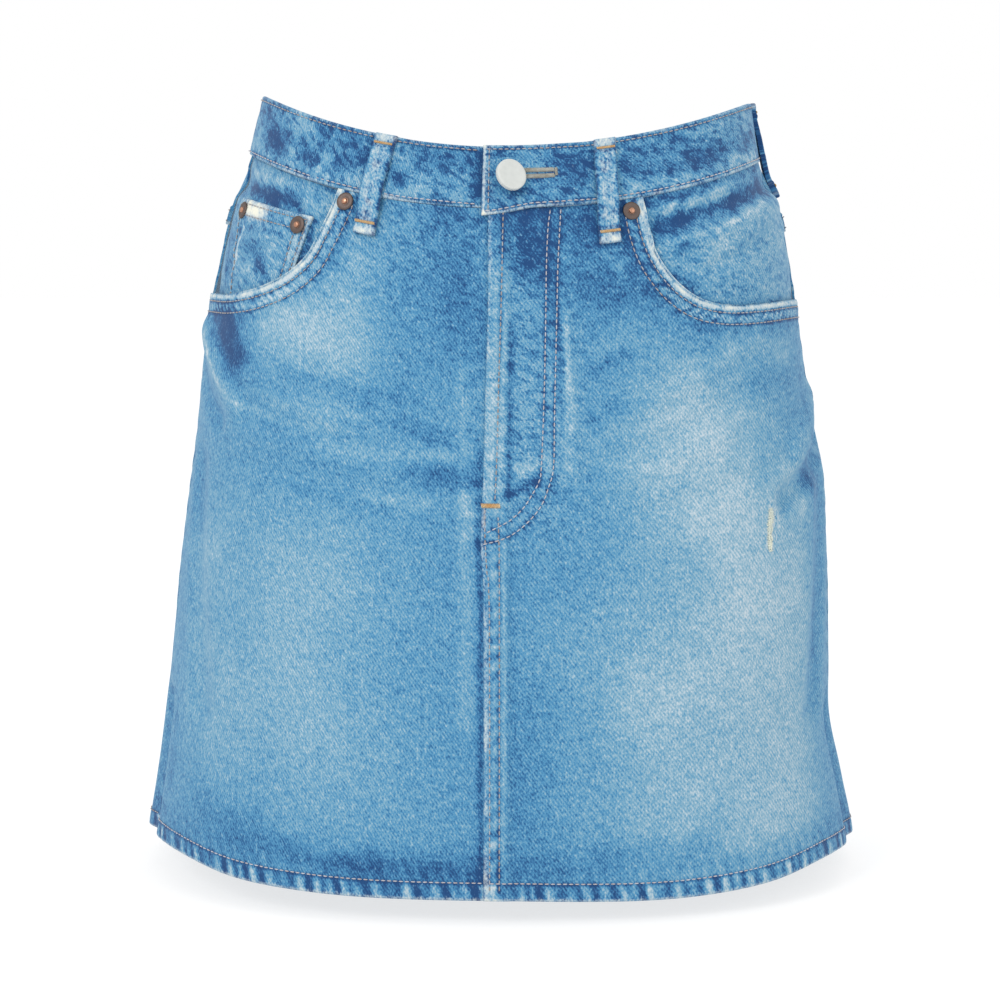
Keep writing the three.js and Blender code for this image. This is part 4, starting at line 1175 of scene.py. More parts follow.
@dataclass
class FrontPanel(Panel):
    """A front panel with the turned rim of its pocket mouth. The left one laps over at the centre."""

    side: Side = Side.LEFT
    seam_columns: int = 56
    mouth_columns: int = 96
    middle_rows: int = 152

    @property
    def laps(self) -> bool:
        """Whether this panel has the strip that laps over the other."""
        return self.side is Side.LEFT

    def start(self, down: Array) -> Array:
        """The way across of the edge near the centre front."""
        if self.laps:
            return smooth(down, LAP_EDGE["down"], LAP_EDGE["across"])
        return np.full(np.shape(down), -0.5)

    def across_at(self, share: Array, down: Array) -> Array:
        """The way across at a share of the way from the centre edge to the side seam."""
        return mix(self.start(down), FORM.side_edge(self.side, down), share)

    def top_of(self, across: Array) -> Array:
        """The way down of the seam under the waistband, which drops to the overlap's loose corner."""
        drop = corner_drop(across) if self.laps else 0.0
        return JOIN_GAP + drop + 0 * across

    def grid(self) -> Spots:
        """Columns from the centre to the side seam, their tops on the waist seam and the pocket mouth."""
        mouth = MOUTH[self.side]
        along = np.linspace(0, mouth.long, self.mouth_columns)
        mouth_across, mouth_down = mouth.at(along)
        first = np.linspace(float(self.start(np.zeros(1))[0]), mouth_across[0], self.seam_columns)[:-1]
        if self.laps:
            first = np.concatenate([first[0] + np.array([0, 0.3, 0.9]), first[1:]])
        across = np.concatenate([first, mouth_across])
        down = np.concatenate([self.top_of(first), np.maximum(mouth_down, self.top_of(mouth_across))])
        start = self.start(down)
        share = (across - start) / (FORM.side_edge(self.side, down) - start)
        share = np.maximum.accumulate(share) + 1e-5 * np.arange(len(share))
        share /= share[-1]
        even = mix(share, np.linspace(0, 1, len(share)), 0.8)
        even[:3] = share[:3]
        bottom = hem_down(lambda way: self.across_at(even, way), np.full(across.shape, FRONT_LENGTH))
        downs = between(down, bottom, TOP_ROWS, HEM_ROWS, self.middle_rows)
        spread = ramp(0, 0.7, (downs - down) / (bottom - down))
        return self.spots(self.across_at(mix(share, even, spread), downs), downs)

    def layers(self, spots: Spots) -> Array:
        """The rim, the lapped strip and the hem."""
        away, _ = MOUTH[self.side].measure(spots.across, spots.down)
        level = RIM_RAISE * fade(RIM_WIDTH - 0.2, RIM_WIDTH + 1.5, away) - rounding(away, 0.9)
        level += self.hem_layers(spots)
        if self.laps:
            level += LAP_RAISE * fade(LAP_STRIP_END, LAP_STRIP_END + LAP_SLOPE + 0.4, spots.across)
            level -= rounding(spots.across - self.start(spots.down), 1.0)
            level += 0.45 * fade(-0.6, 1.4, self.outside_fly(spots))
        return level

    def outside_fly(self, spots: Spots) -> Array:
        """How far places lie outside the fly's outer curve, less than 0 inside it."""
        away, along = FLY_LINES[1].measure(spots.across, spots.down)
        across, down = FLY_LINES[1].at(along)
        outside = (spots.across > across) | (spots.down > down + 0.4 * (spots.across < 24))
        return np.where(outside, away, -away)

    def relief(self, spots: Spots) -> Array:
        """Puckers along every seam, grooves under the stitches, and the cloth's slight unevenness."""
        relief = super().relief(spots) + self.hem_relief(spots)
        away, along = MOUTH[self.side].measure(spots.across, spots.down)
        within = fade(9.0, 10.2, away)
        relief += within * pucker(along, away - 6.4, 5.4, 3.0, 0.42, 0.8, 11 + self.seed)
        relief += (1 - within) * pucker(along, away - 13, 10, 4.0, 0.16, 0.2, 13 + self.seed)
        relief += 0.35 * bell(away - 1.8, 1.4)
        relief -= 0.30 * sum(bell(away - stitch, 0.8) for stitch in RIM_STITCHES)
        relief += pucker(spots.across, spots.down - 4, 9.5, 6, 0.26, 0.1, 17 + self.seed)
        seam = np.abs(FORM.side_seam(self.side, spots.down) - spots.across)
        relief += pucker(spots.down, seam - 3, 13, 6, 0.28, 0.3, 19 + self.seed)
        if self.laps:
            relief += self.lap_relief(spots)
        else:
            relief += pucker(spots.down, spots.across + 13, 12, 4, 0.2, 0.6, 23)
        return relief

    def lap_relief(self, spots: Spots) -> Array:
        """Puckers along the fly, its curved stitching and the seam below it."""
        relief = np.zeros(spots.turn.shape)
        for line in LAP_STITCHES:
            relief -= 0.26 * bell(line.measure(spots.across, spots.down)[0], 0.8)
        away, along = FLY_LINES[0].measure(spots.across, spots.down)
        relief += pucker(along, away - 2.5, 8, 3.4, 0.2, 0.6, 29)
        relief += pucker(spots.down, spots.across - 33, 9, 3.0, 0.3, 1.0, 31) * fade(140, 160, spots.down)
        strip = bell(spots.across + 5, 5.5)
        relief += pucker(spots.down, spots.across + 5, 9, 6, 0.3, 0.5, 37)
        return relief + 0.15 * strip

    def looks(self, spots: Spots, relief: Array) -> tuple[Array, Array]:
        """The front's wash with its pale thighs and creases, painted light and shade on its folds, puckers
        and stitch grooves, and its worn rims and edges.
        """
        across, down = spots.across, spots.down
        relief = relief - super().relief(spots)
        wash = 0.435 + wash_of(FRONT_WASH_AND_SHADE, across, down) + 0.025 * NOISE.at(across / 30 + 5, down / 34, 3)
        wash -= 0.06 * fade(2, 10, down)
        folds = FORM.folds(spots)
        # Painted light on the crests and painted shade in the troughs of the folds and puckers, over the
        # paler wear that the crests have.
        wash += 0.03 * np.clip(folds, -3, 3) + 0.48 * relief
        away, along = MOUTH[self.side].measure(across, down)
        rim = fade(9.5, 10.5, away)
        # On the rim, painted light on the pucker crests and painted shade in their hollows; below, painted
        # shade in the grooves of its two rows of stitches.
        wash += rim * (0.03 + 0.60 * relief) - 0.12 * bell(away - 12.5, 2.2)
        wash -= 0.22 * (bell(away - 3.9, 0.8) + bell(away - 9.6, 0.8))
        worn = 0.95 * bell(away - 1.2, 1.15) * (0.75 + 0.45 * NOISE.at(along / 6, 3 + self.seed, 2))
        hem_wash_and_shade, hem_worn = self.hem_looks(spots, relief)
        wash += hem_wash_and_shade
        worn += hem_worn
        if self.laps:
            edge = across - self.start(down)
            above = fade(150, 154, down)
            pale = 0.05 * ramp(8, 40, down) + 0.10 * ramp(60, 95, down)
            wash += pale * bell(edge - 4.6, 4.6) * above + 0.06 * fade(9, 13, edge)
            worn += 0.46 * bell(edge - 0.9, 1.0) * (0.7 + 0.6 * NOISE.at(down / 8, 8.5, 2))
            strip = (1 - above) * fade(7.6, 8.6, edge)
            # Painted light on the pucker crests of the centre seam's strip and painted shade in their
            # hollows.
            wash += strip * (0.6 * relief - 0.12)
            worn += 0.12 * strip * bell(edge - 0.9, 0.9)
            # Painted shade in the grooves of the fly's and the centre seam's stitching.
            for line in LAP_STITCHES:
                wash -= 0.22 * bell(line.measure(across, down)[0], 0.8)
            worn += self.scuff(across, down)
        return wash, worn

    def scuff(self, across: Array, down: Array) -> Array:
        """The small torn place on the left thigh, and the rubbed patch beside it."""
        patch = bell(np.hypot(across - 154, 0.5 * (down - 178)), 6.0)
        torn = 0.75 + 0.5 * NOISE.at(across / 2, down / 3, 2)
        ends = ramp(170, 176, down) * fade(192, 197, down)
        return 0.45 * patch + 1.3 * torn * bell(across - scuff_middle(down), 1.7) * ends

    def crackle(self, spots: Spots) -> Array:
        """Plainest on the rims, under the waistband and over the fly."""
        away, _ = MOUTH[self.side].measure(spots.across, spots.down)
        rim = 0.55 * fade(9.5, 12, away)
        below_band = 0.28 * fade(8, 80, spots.down)
        fly = 0.42 * bell(spots.across - 12, 24) * fade(150, 185, spots.down)
        return self.creased + np.maximum(rim, np.maximum(below_band, fly))


OVERLAP_END = -11.2
UNDERLAP_END = 25.0
OVERLAP_LIFT = 1.8
BUTTON_TILT = 29.0
CORNER_DROP = 4.0
CORNER_REACH = 28.0


def corner_drop(across: Array) -> Array:
    """How far the waist seam drops towards the overlap's loose corner."""
    return CORNER_DROP * fade(OVERLAP_END, OVERLAP_END + CORNER_REACH, across)


def front_drop(across: Array) -> Array:
    """The corner's drop by the way round the band, where the end beneath doesn't drop."""
    return np.where(across < 60, corner_drop(across), 0)


@dataclass
class PocketFacing(Cloth):
    """The cloth that shows in a pocket mouth."""

    side: Side = Side.LEFT
    tuck: float = 11.0
    puff: float = 1.5
    columns: int = 140
    rows: int = 84

    def grid(self) -> Spots:
        """Columns from under the rim to the side seam, down to a line tucked under the rim."""
        mouth = MOUTH[self.side]
        along = np.linspace(0.08 * mouth.long, mouth.long, self.columns)
        sign = self.side.value
        across, bottom = mouth.at(along, -sign * self.tuck)
        across = sign * np.maximum.accumulate(sign * across)
        first = across[0]
        share = np.clip((across - first) / (FORM.side_edge(self.side, bottom) - first), 0, 1)
        share[-1] = 1
        share = np.maximum.accumulate(share)
        downs = mix(JOIN_GAP, bottom[None, :], np.linspace(0, 1, self.rows)[:, None])
        return self.spots(mix(first, FORM.side_edge(self.side, downs), share[None, :]), downs)

    def depth_in(self, spots: Spots) -> Array:
        """How far places lie inside the mouth."""
        mouth = MOUTH[self.side]
        away, along = mouth.measure(spots.across, spots.down)
        line_across, line_down = mouth.at(along)
        sign = self.side.value
        inside = (sign * (spots.across - line_across) > 0) | (spots.down < line_down - 0.01)
        return np.where(inside, away, -away)

    def layers(self, spots: Spots) -> Array:
        """Tucked under the panel, then puffed out in the opening."""
        under = -CLOTH - LAYER_GAP - (COIN_CLOTH + LAYER_GAP if self.side is Side.RIGHT else 0)
        return under + self.puff * ramp(1, 18, self.depth_in(spots))

    def relief(self, spots: Spots) -> Array:
        """Soft folds that run from the rivet towards the hip."""
        drawn = 0.35 * NOISE.at(spots.across / 22 + self.seed, spots.down / 8, 2)
        return drawn * ramp(2, 12, self.depth_in(spots))

    def looks(self, spots: Spots, relief: Array) -> tuple[Array, Array]:
        """Paler where the folds stand up and darker in their troughs, as painted light and shade, and dark in
        the shade of the rim.
        """
        folds = FORM.folds(spots)
        # Painted light on the fold and relief crests and painted shade in their troughs.
        wash = 0.50 + 0.03 * np.clip(folds, -2.5, 2) + 0.2 * relief
        wash += wash_of(FACING_WASH_AND_SHADE[self.side], spots.across, spots.down)
        wash += 0.06 * NOISE.at(spots.across / 20, spots.down / 12, 3)
        wash -= 0.16 * fade(0, 5, self.depth_in(spots)) + 0.10 * fade(1, 5, spots.down)
        return wash, np.zeros(wash.shape)


@dataclass
class CoinPocket(Cloth):
    """The small pocket sewn on the right facing."""

    facing: PocketFacing | None = None
    divisions: int = 52

    def grid(self) -> Spots:
        """Rows and columns between the four corners."""
        middle = np.linspace(0.03, 0.97, self.divisions)
        share = np.concatenate([[0, 0.006, 0.016], middle, [0.984, 0.994, 1]])
        u, v = np.meshgrid(share, share)
        across, down = (mix(mix(way[0], way[1], u), mix(way[2], way[3], u), v)
                        for way in COIN_POCKET.values())
        return self.spots(-across, down)

    def shares(self, spots: Spots) -> tuple[Array, Array]:
        """How far outwards and how far down places lie from the pocket's inner top corner."""
        (inner, outer, lower, _), (top, outer_top, bottom, _) = COIN_POCKET.values()
        share = np.clip((-spots.across - inner) / (outer - inner), 0, 1)
        below = spots.down - mix(top, outer_top, share)
        return -spots.across - (inner + (lower - inner) * below / (bottom - top)), below

    def layers(self, spots: Spots) -> Array:
        """Lies on the facing, its top edge folded."""
        out, below = self.shares(spots)
        level = self.facing.layers(spots) + LAYER_GAP + COIN_CLOTH
        return level + 0.25 * fade(7.5, 9, below) - rounding(below, 0.7) - rounding(out, 0.7)

    def thickness(self, spots: Spots) -> Array:
        """The thickness of one layer."""
        return np.full(spots.turn.shape, COIN_CLOTH)

    def relief(self, spots: Spots) -> Array:
        """Follows the facing's folds, with puckers at its top and inner edges."""
        out, below = self.shares(spots)
        relief = self.facing.relief(spots) + pucker(out, below - 4, 7, 3.5, 0.22, 0.4, 41)
        relief += pucker(below, out - 4, 7, 3.5, 0.2, 0.4, 43)
        for away in (out - 2.4, out - 7.6, below - 2.4, below - 8):
            relief -= 0.2 * bell(away, 0.8)
        return relief

    def looks(self, spots: Spots, relief: Array) -> tuple[Array, Array]:
        """Worn white on its top edge, paler along its seams, with painted shade under its hemmed top, in its
        stitch grooves and in its relief's hollows.
        """
        out, below = self.shares(spots)
        folds = FORM.folds(spots)
        # Painted light on the fold and pucker crests and painted shade in their hollows.
        wash = 0.46 + 0.03 * np.clip(folds, -2.5, 2) + 0.4 * relief
        wash += wash_of(COIN_WASH_AND_SHADE, spots.across, spots.down)
        wash += 0.08 * NOISE.at(spots.across / 14, spots.down / 11, 3)
        patch = bell(np.maximum(np.abs(spots.across + 149) - 8, 0), 5) * bell(np.abs(below - 4.8), 4.4)
        torn = 0.85 + 0.4 * NOISE.at(spots.across / 4, spots.down / 3, 2)
        worn = 0.34 * bell(below - 1, 1.3) + 1.45 * patch * torn + 0.50 * bell(out - 1, 1.3)
        worn += 0.3 * bell(out - 5, 2.2) * torn
        # Paler between the two rows of stitches, with painted shade in their grooves.
        wash += 0.16 * bell(out - 4.5, 2.6) - 0.2 * (bell(out - 2.6, 0.7) + bell(out - 7.8, 0.7))
        return wash, worn


@dataclass
class BackPiece(Panel):
    """A piece behind, between the centre back seam and the side seam."""

    side: Side = Side.LEFT

    def across_at(self, share: Array, down: Array) -> Array:
        """The way across at a share of the way from the centre back to the side seam."""
        return mix(HALF_GAP, FORM.back_width(self.side, down), share)

    def seam_layers(self, spots: Spots) -> Array:
        """The felled centre seam, which lies on the left side."""
        if self.side is Side.RIGHT:
            return np.zeros(spots.turn.shape)
        return FELL_RAISE * fade(FELL_WIDTH, FELL_WIDTH + 1.3, spots.across)

    def seam_relief(self, spots: Spots) -> Array:
        """Puckers beside the centre seam and the side seam."""
        relief = pucker(spots.down, spots.across - 5, 9, 6, 0.28, 0.4, 51 + self.seed)
        out = FORM.back_width(self.side, spots.down) - spots.across
        return relief + pucker(spots.down, out - 3, 13, 6, 0.26, 0.3, 53 + self.seed)

    def seam_looks(self, spots: Spots, relief: Array) -> tuple[Array, Array]:
        """The wash behind, palest on the seat, with painted light and shade on its puckers and folds, and the
        worn ridge of the centre seam.
        """
        wash = 0.43 + 0.27 * bell(spots.across - 98, 60) * bell(spots.down - 168, 85)
        wash += 0.10 * bell(spots.across - 110, 60) * bell(spots.down - 285, 50)
        wash += 0.03 * NOISE.at(spots.across / 44 + self.seed, spots.down / 50, 3)
        # Painted light on the crests and painted shade in the hollows of the puckers and folds, over the
        # paler wear of the crests.
        wash += 0.55 * (relief - Cloth.relief(self, spots))
        folds = FORM.folds(spots)
        wash += 0.035 * np.clip(folds, -3, 3)
        worn = 0.42 * bell(spots.across - 9.6, 1.5) * (self.side is Side.LEFT)
        return wash, worn + 0 * wash


def yoke_seam(side: Side, out: Array) -> Array:
    """The way down to the seam between the yoke and the panel, lowest at the centre back."""
    wide = FORM.back_width(side, np.array([YOKE_SIDE]))[0]
    return mix(YOKE_CENTRE, YOKE_SIDE, np.clip(out / wide, 0, 1))


def pocket_sides(down: Array) -> tuple[Array, Array]:
    """The ways out from the centre back of a back pocket's inner and outer edges."""
    rows = BACK_POCKET_SIDES
    return smooth(down, rows["down"], rows["inner"]), smooth(down, rows["down"], rows["outer"])


@dataclass
class Yoke(BackPiece):
    """The yoke under the waistband, its lower edge lapped over the panel and felled."""

    columns: int = 128
    middle_rows: int = 14

    def grid(self) -> Spots:
        """Columns from the centre back to the side, down to the yoke's seam."""
        share = np.linspace(0, 1, self.columns)
        guess = mix(JOIN_GAP, 260.0, share)
        bottom = yoke_seam(self.side, guess) - HALF_GAP
        foot = (12, 10.6, 9.4, 8, 6.4, 4.8, 3.2, 1.8, 0.9, 0.3, 0)
        downs = between(np.full(share.shape, JOIN_GAP), bottom, (0, 1.5, 3), foot, self.middle_rows)
        return self.spots(self.across_at(share, downs), downs)

    def above_seam(self, spots: Spots) -> Array:
        """How far places lie above the yoke's lower edge."""
        return yoke_seam(self.side, spots.across) - HALF_GAP - spots.down

    def layers(self, spots: Spots) -> Array:
        """Raised where the seams are felled."""
        above = self.above_seam(spots)
        fell = FELL_RAISE * fade(FELL_WIDTH, FELL_WIDTH + 1.3, above)
        return np.maximum(fell, self.seam_layers(spots)) - rounding(above, 0.9)

    def thickness(self, spots: Spots) -> Array:
        """The cloth's thickness with the fell behind its raised edge."""
        return CLOTH + self.layers(spots).clip(0)

    def relief(self, spots: Spots) -> Array:
        """Puckers along the yoke seam."""
        above = self.above_seam(spots)
        relief = super(Panel, self).relief(spots) + self.seam_relief(spots)
        relief += pucker(spots.across, above - 5, 8.5, 5.5, 0.3, 0.3, 57 + self.seed)
        return relief - 0.24 * sum(bell(above - stitch, 0.8) for stitch in FELL_STITCHES)

    def looks(self, spots: Spots, relief: Array) -> tuple[Array, Array]:
        """Worn along the lower edge."""
        wash, worn = self.seam_looks(spots, relief)
        above = self.above_seam(spots)
        worn += 0.6 * bell(above - 0.9, 1.5) + 0.2 * bell(above - 10, 1.5)
        return wash - 0.1 * fade(2, 14, spots.down), worn


@dataclass
class BackPanel(BackPiece):
    """A back panel from the yoke to the hem."""

    columns: int = 132
    middle_rows: int = 118

    def grid(self) -> Spots:
        """Columns from the centre back to the side seam."""
        share = np.linspace(0, 1, self.columns)
        top = yoke_seam(self.side, mix(0, 265.0, share)) + HALF_GAP
        guess = np.full(share.shape, BACK_LENGTH)
        bottom = hem_down(lambda way: self.across_at(share, way), guess, self.behind)
        downs = between(top, bottom, (0, 1.5, 3), HEM_ROWS, self.middle_rows)
        return self.spots(self.across_at(share, downs), downs)

    def layers(self, spots: Spots) -> Array:
        """The hem and the felled centre seam."""
        seam = self.seam_layers(spots) - rounding(self.above_hem(spots), HEM_ROUND)
        return np.maximum(self.hem_layers(spots), seam)

    def thickness(self, spots: Spots) -> Array:
        """The panel's thickness with the fell."""
        return super().thickness(spots) + self.seam_layers(spots)

    def relief(self, spots: Spots) -> Array:
        """Puckers at the hem and seams."""
        return super().relief(spots) + self.hem_relief(spots) + self.seam_relief(spots)

    def looks(self, spots: Spots, relief: Array) -> tuple[Array, Array]:
        """The seat's wash with the painted light and shade of its relief, darker round the pockets' edges."""
        wash, worn = self.seam_looks(spots, relief)
        hem_wash_and_shade, hem_worn = self.hem_looks(spots, relief)
        inner, outer = pocket_sides(spots.down)
        away = np.minimum(np.abs(spots.across - inner + 1), np.abs(spots.across - outer - 1))
        tall = ramp(86, 94, spots.down) * fade(208, 226, spots.down)
        wash -= 0.14 * bell(away, 2.5) * tall
        return wash + hem_wash_and_shade, worn + hem_worn


@dataclass
class BackPocket(Cloth):
    """A plain patch pocket with a hemmed top and a blunt point below."""

    side: Side = Side.LEFT
    panel: BackPanel | None = None
    columns: int = 76
    middle_rows: int = 66
    hem: float = 13.0

    def lines(self, out: Array) -> tuple[Array, Array]:
        """The ways down of the top and the bottom edge at a share outwards."""
        top = mix(*BACK_POCKET_TOP, out)
        return top, mix(*BACK_POCKET_BOTTOM, out) + BACK_POCKET_POINT * (1 - np.abs(2 * out - 1))

    def grid(self) -> Spots:
        """Columns between the two side edges."""
        share = np.concatenate([[0, 0.004, 0.01], np.linspace(0.02, 0.98, self.columns), [0.99, 0.996, 1]])
        top, bottom = self.lines(share)
        downs = between(top, bottom, TOP_ROWS, (4, 2.4, 1.2, 0.5, 0), self.middle_rows)
        inner, outer = pocket_sides(downs)
        return self.spots(mix(inner, outer, share[None, :]), downs)

    def margins(self, spots: Spots) -> tuple[Array, Array, Array]:
        """Distances from the top edge, from the nearest other edge, and the share outwards."""
        inner, outer = pocket_sides(spots.down)
        share = np.clip((spots.across - inner) / (outer - inner), 0, 1)
        top, bottom = self.lines(share)
        beside = np.minimum(spots.across - inner, outer - spots.across)
        return spots.down - top, np.minimum(beside, (bottom - spots.down) * 0.97), share

    def layers(self, spots: Spots) -> Array:
        """Lies on the back panel, with its hem raised and its edges rounded."""
        below, edge, _ = self.margins(spots)
        level = self.panel.layers(spots) + SEAM_GAP + CLOTH
        level += 0.6 * fade(self.hem - 0.4, self.hem + 1, below)
        return level - rounding(below, 0.9) - rounding(edge, 0.8)

    def relief(self, spots: Spots) -> Array:
        """Puckers round the edges and along the hem's stitches."""
        below, edge, _ = self.margins(spots)
        relief = self.panel.relief(spots) + pucker(spots.across, below - 6, 8, 5, 0.22, 0.3, 61 + self.seed)
        relief += pucker(spots.down + spots.across, edge - 4.5, 8, 4.5, 0.24, 0.3, 63 + self.seed)
        for away in (below - 2.6, below - self.hem + 1.2, edge - 2.2, edge - 8):
            relief -= 0.22 * bell(away, 0.8)
        return relief

    def looks(self, spots: Spots, relief: Array) -> tuple[Array, Array]:
        """The seat's wash with the painted light and shade of its relief, and worn edges."""
        below, edge, _ = self.margins(spots)
        wash, _ = self.panel.seam_looks(spots, relief)
        worn = 0.62 * bell(edge - 0.9, 1.5) + 0.6 * bell(below - 0.8, 1.5) + 0.22 * bell(edge - 5, 2.5)
        return wash + 0.04, worn * (0.75 + 0.4 * NOISE.at(spots.across / 9, spots.down / 9 + self.seed))


def from_front(across: Array) -> Array:
    """A way round the band as the shorter way from the centre front, with its sign."""
    full = FORM.full_length()
    return np.where(across > full / 2, across - full, across)


@dataclass
class Waistband(Cloth):
    """The folded strip round the waist, whose left end laps over the right one."""

    columns: int = 500
    rows: tuple[float, ...] = (0, 0.3, 0.8, 1.5, 2.4, 3.4, 4.6)
    middle_rows: int = 12

    def turn_of(self, across: float) -> float:
        """The turn at a way across, half way up the band in front."""
        height = np.array([WAIST_SEAM["front"] + BAND_HEIGHT / 2])
        return float(FORM.turn_at(np.array([across]), height, np.array([across / 150]))[0])

    def grid(self) -> Spots:
        """Columns from the end on top, all round, to the end beneath. Across goes on past a full round."""
        start, end = self.turn_of(OVERLAP_END), 2 * np.pi + self.turn_of(UNDERLAP_END)
        along = np.linspace(start, end, self.columns)
        along = np.concatenate([[start, start + 0.0025, start + 0.007], along[1:]])
        turn = np.where(along > np.pi, along - 2 * np.pi, along)
        height = FORM.waist_seam(turn) + BAND_HEIGHT / 2
        middle = FORM.length(turn, height)
        half = np.full(turn.shape, np.pi)
        full = FORM.length(half, height) - FORM.length(-half, height)
        across = middle + np.where(along > np.pi, full, 0)
        drop = np.where(along < 1, corner_drop(across), 0)
        top = np.full(along.shape, -BAND_HEIGHT)
        downs = between(top, drop, self.rows, self.rows[::-1], self.middle_rows)
        turns = np.broadcast_to(turn, downs.shape)
        return Spots(np.broadcast_to(across, downs.shape), downs, turns, FORM.waist_seam(turns) - downs)

    def edges(self, spots: Spots) -> tuple[Array, Array, Array]:
        """Distances from the top edge, the bottom edge and the end on top."""
        drop = front_drop(spots.across)
        return spots.down + BAND_HEIGHT, drop - spots.down, np.abs(spots.across - OVERLAP_END)

    def layers(self, spots: Spots) -> Array:
        """Level at the middle, lifted over the other end, sunk under it, its folded edges rounded."""
        across = spots.across
        lift = OVERLAP_LIFT * fade(29, 45, across)
        full = FORM.full_length()
        sink = -1.65 * ramp(full - 30, full - 14, across)
        top, bottom, end = self.edges(spots)
        folded = sum(rounding(away, BAND_ROUND) for away in (top, bottom, end))
        return lift + sink + BAND_CLOTH / 2 - folded

    def thickness(self, spots: Spots) -> Array:
        """The band's thickness, rounded at the folded edges."""
        return BAND_CLOTH - 2 * np.max([rounding(away, BAND_ROUND) for away in self.edges(spots)], axis=0)

    def relief(self, spots: Spots) -> Array:
        """Soft waves, and puckers at the stitching along both edges."""
        top, bottom, end = self.edges(spots)
        relief = 0.42 * NOISE.at(spots.across / 15, spots.down / 12 + 4, 2)
        relief += pucker(spots.across, bottom - 4, 8, 5, 0.26, -0.5, 71)
        relief += pucker(spots.across, top - 4, 7.5, 4, 0.26, 0.5, 73)
        relief -= 0.26 * (bell(top - 2.3, 0.8) + bell(bottom - 2, 0.8) + bell(end - 3.3, 0.8))
        return relief * ramp(0, 2.2, np.minimum(top, np.minimum(bottom, end + 0.6)) + 0.8)

    def looks(self, spots: Spots, relief: Array) -> tuple[Array, Array]:
        """Mottled dark and pale, worn along its edges and round the button, with painted shade in its stitch
        grooves and relief hollows.
        """
        top, bottom, end = self.edges(spots)
        across = from_front(spots.across)
        # Painted light on the crests and painted shade in the hollows of the relief, over the mottle of the
        # wash.
        wash = 0.34 + 0.40 * relief + 0.08 * NOISE.at(spots.across / 15 + 2, spots.down / 11, 3)
        wash += wash_of(BAND_WASH, across, spots.down)
        wash += 0.10 * bell(bottom - 4, 4.5)
        # Painted shade in the grooves of the stitching along both edges.
        wash -= 0.14 * (bell(bottom - 2, 0.7) + bell(top - 2.3, 0.7))
        chafed = 0.7 + 0.5 * NOISE.at(spots.across / 10, 5.5)
        worn = 0.40 * bell(top - 0.5, 1.1) * chafed + 0.62 * bell(bottom - 0.5, 0.8) * chafed
        worn += 0.75 * bell(end - 0.9, 0.9) + 0.18 * bell(end - 4.6, 1.6)
        worn += 0.30 * bell(bottom - 1.4, 1.2) * bell(across + 30, 26)
        return wash, worn


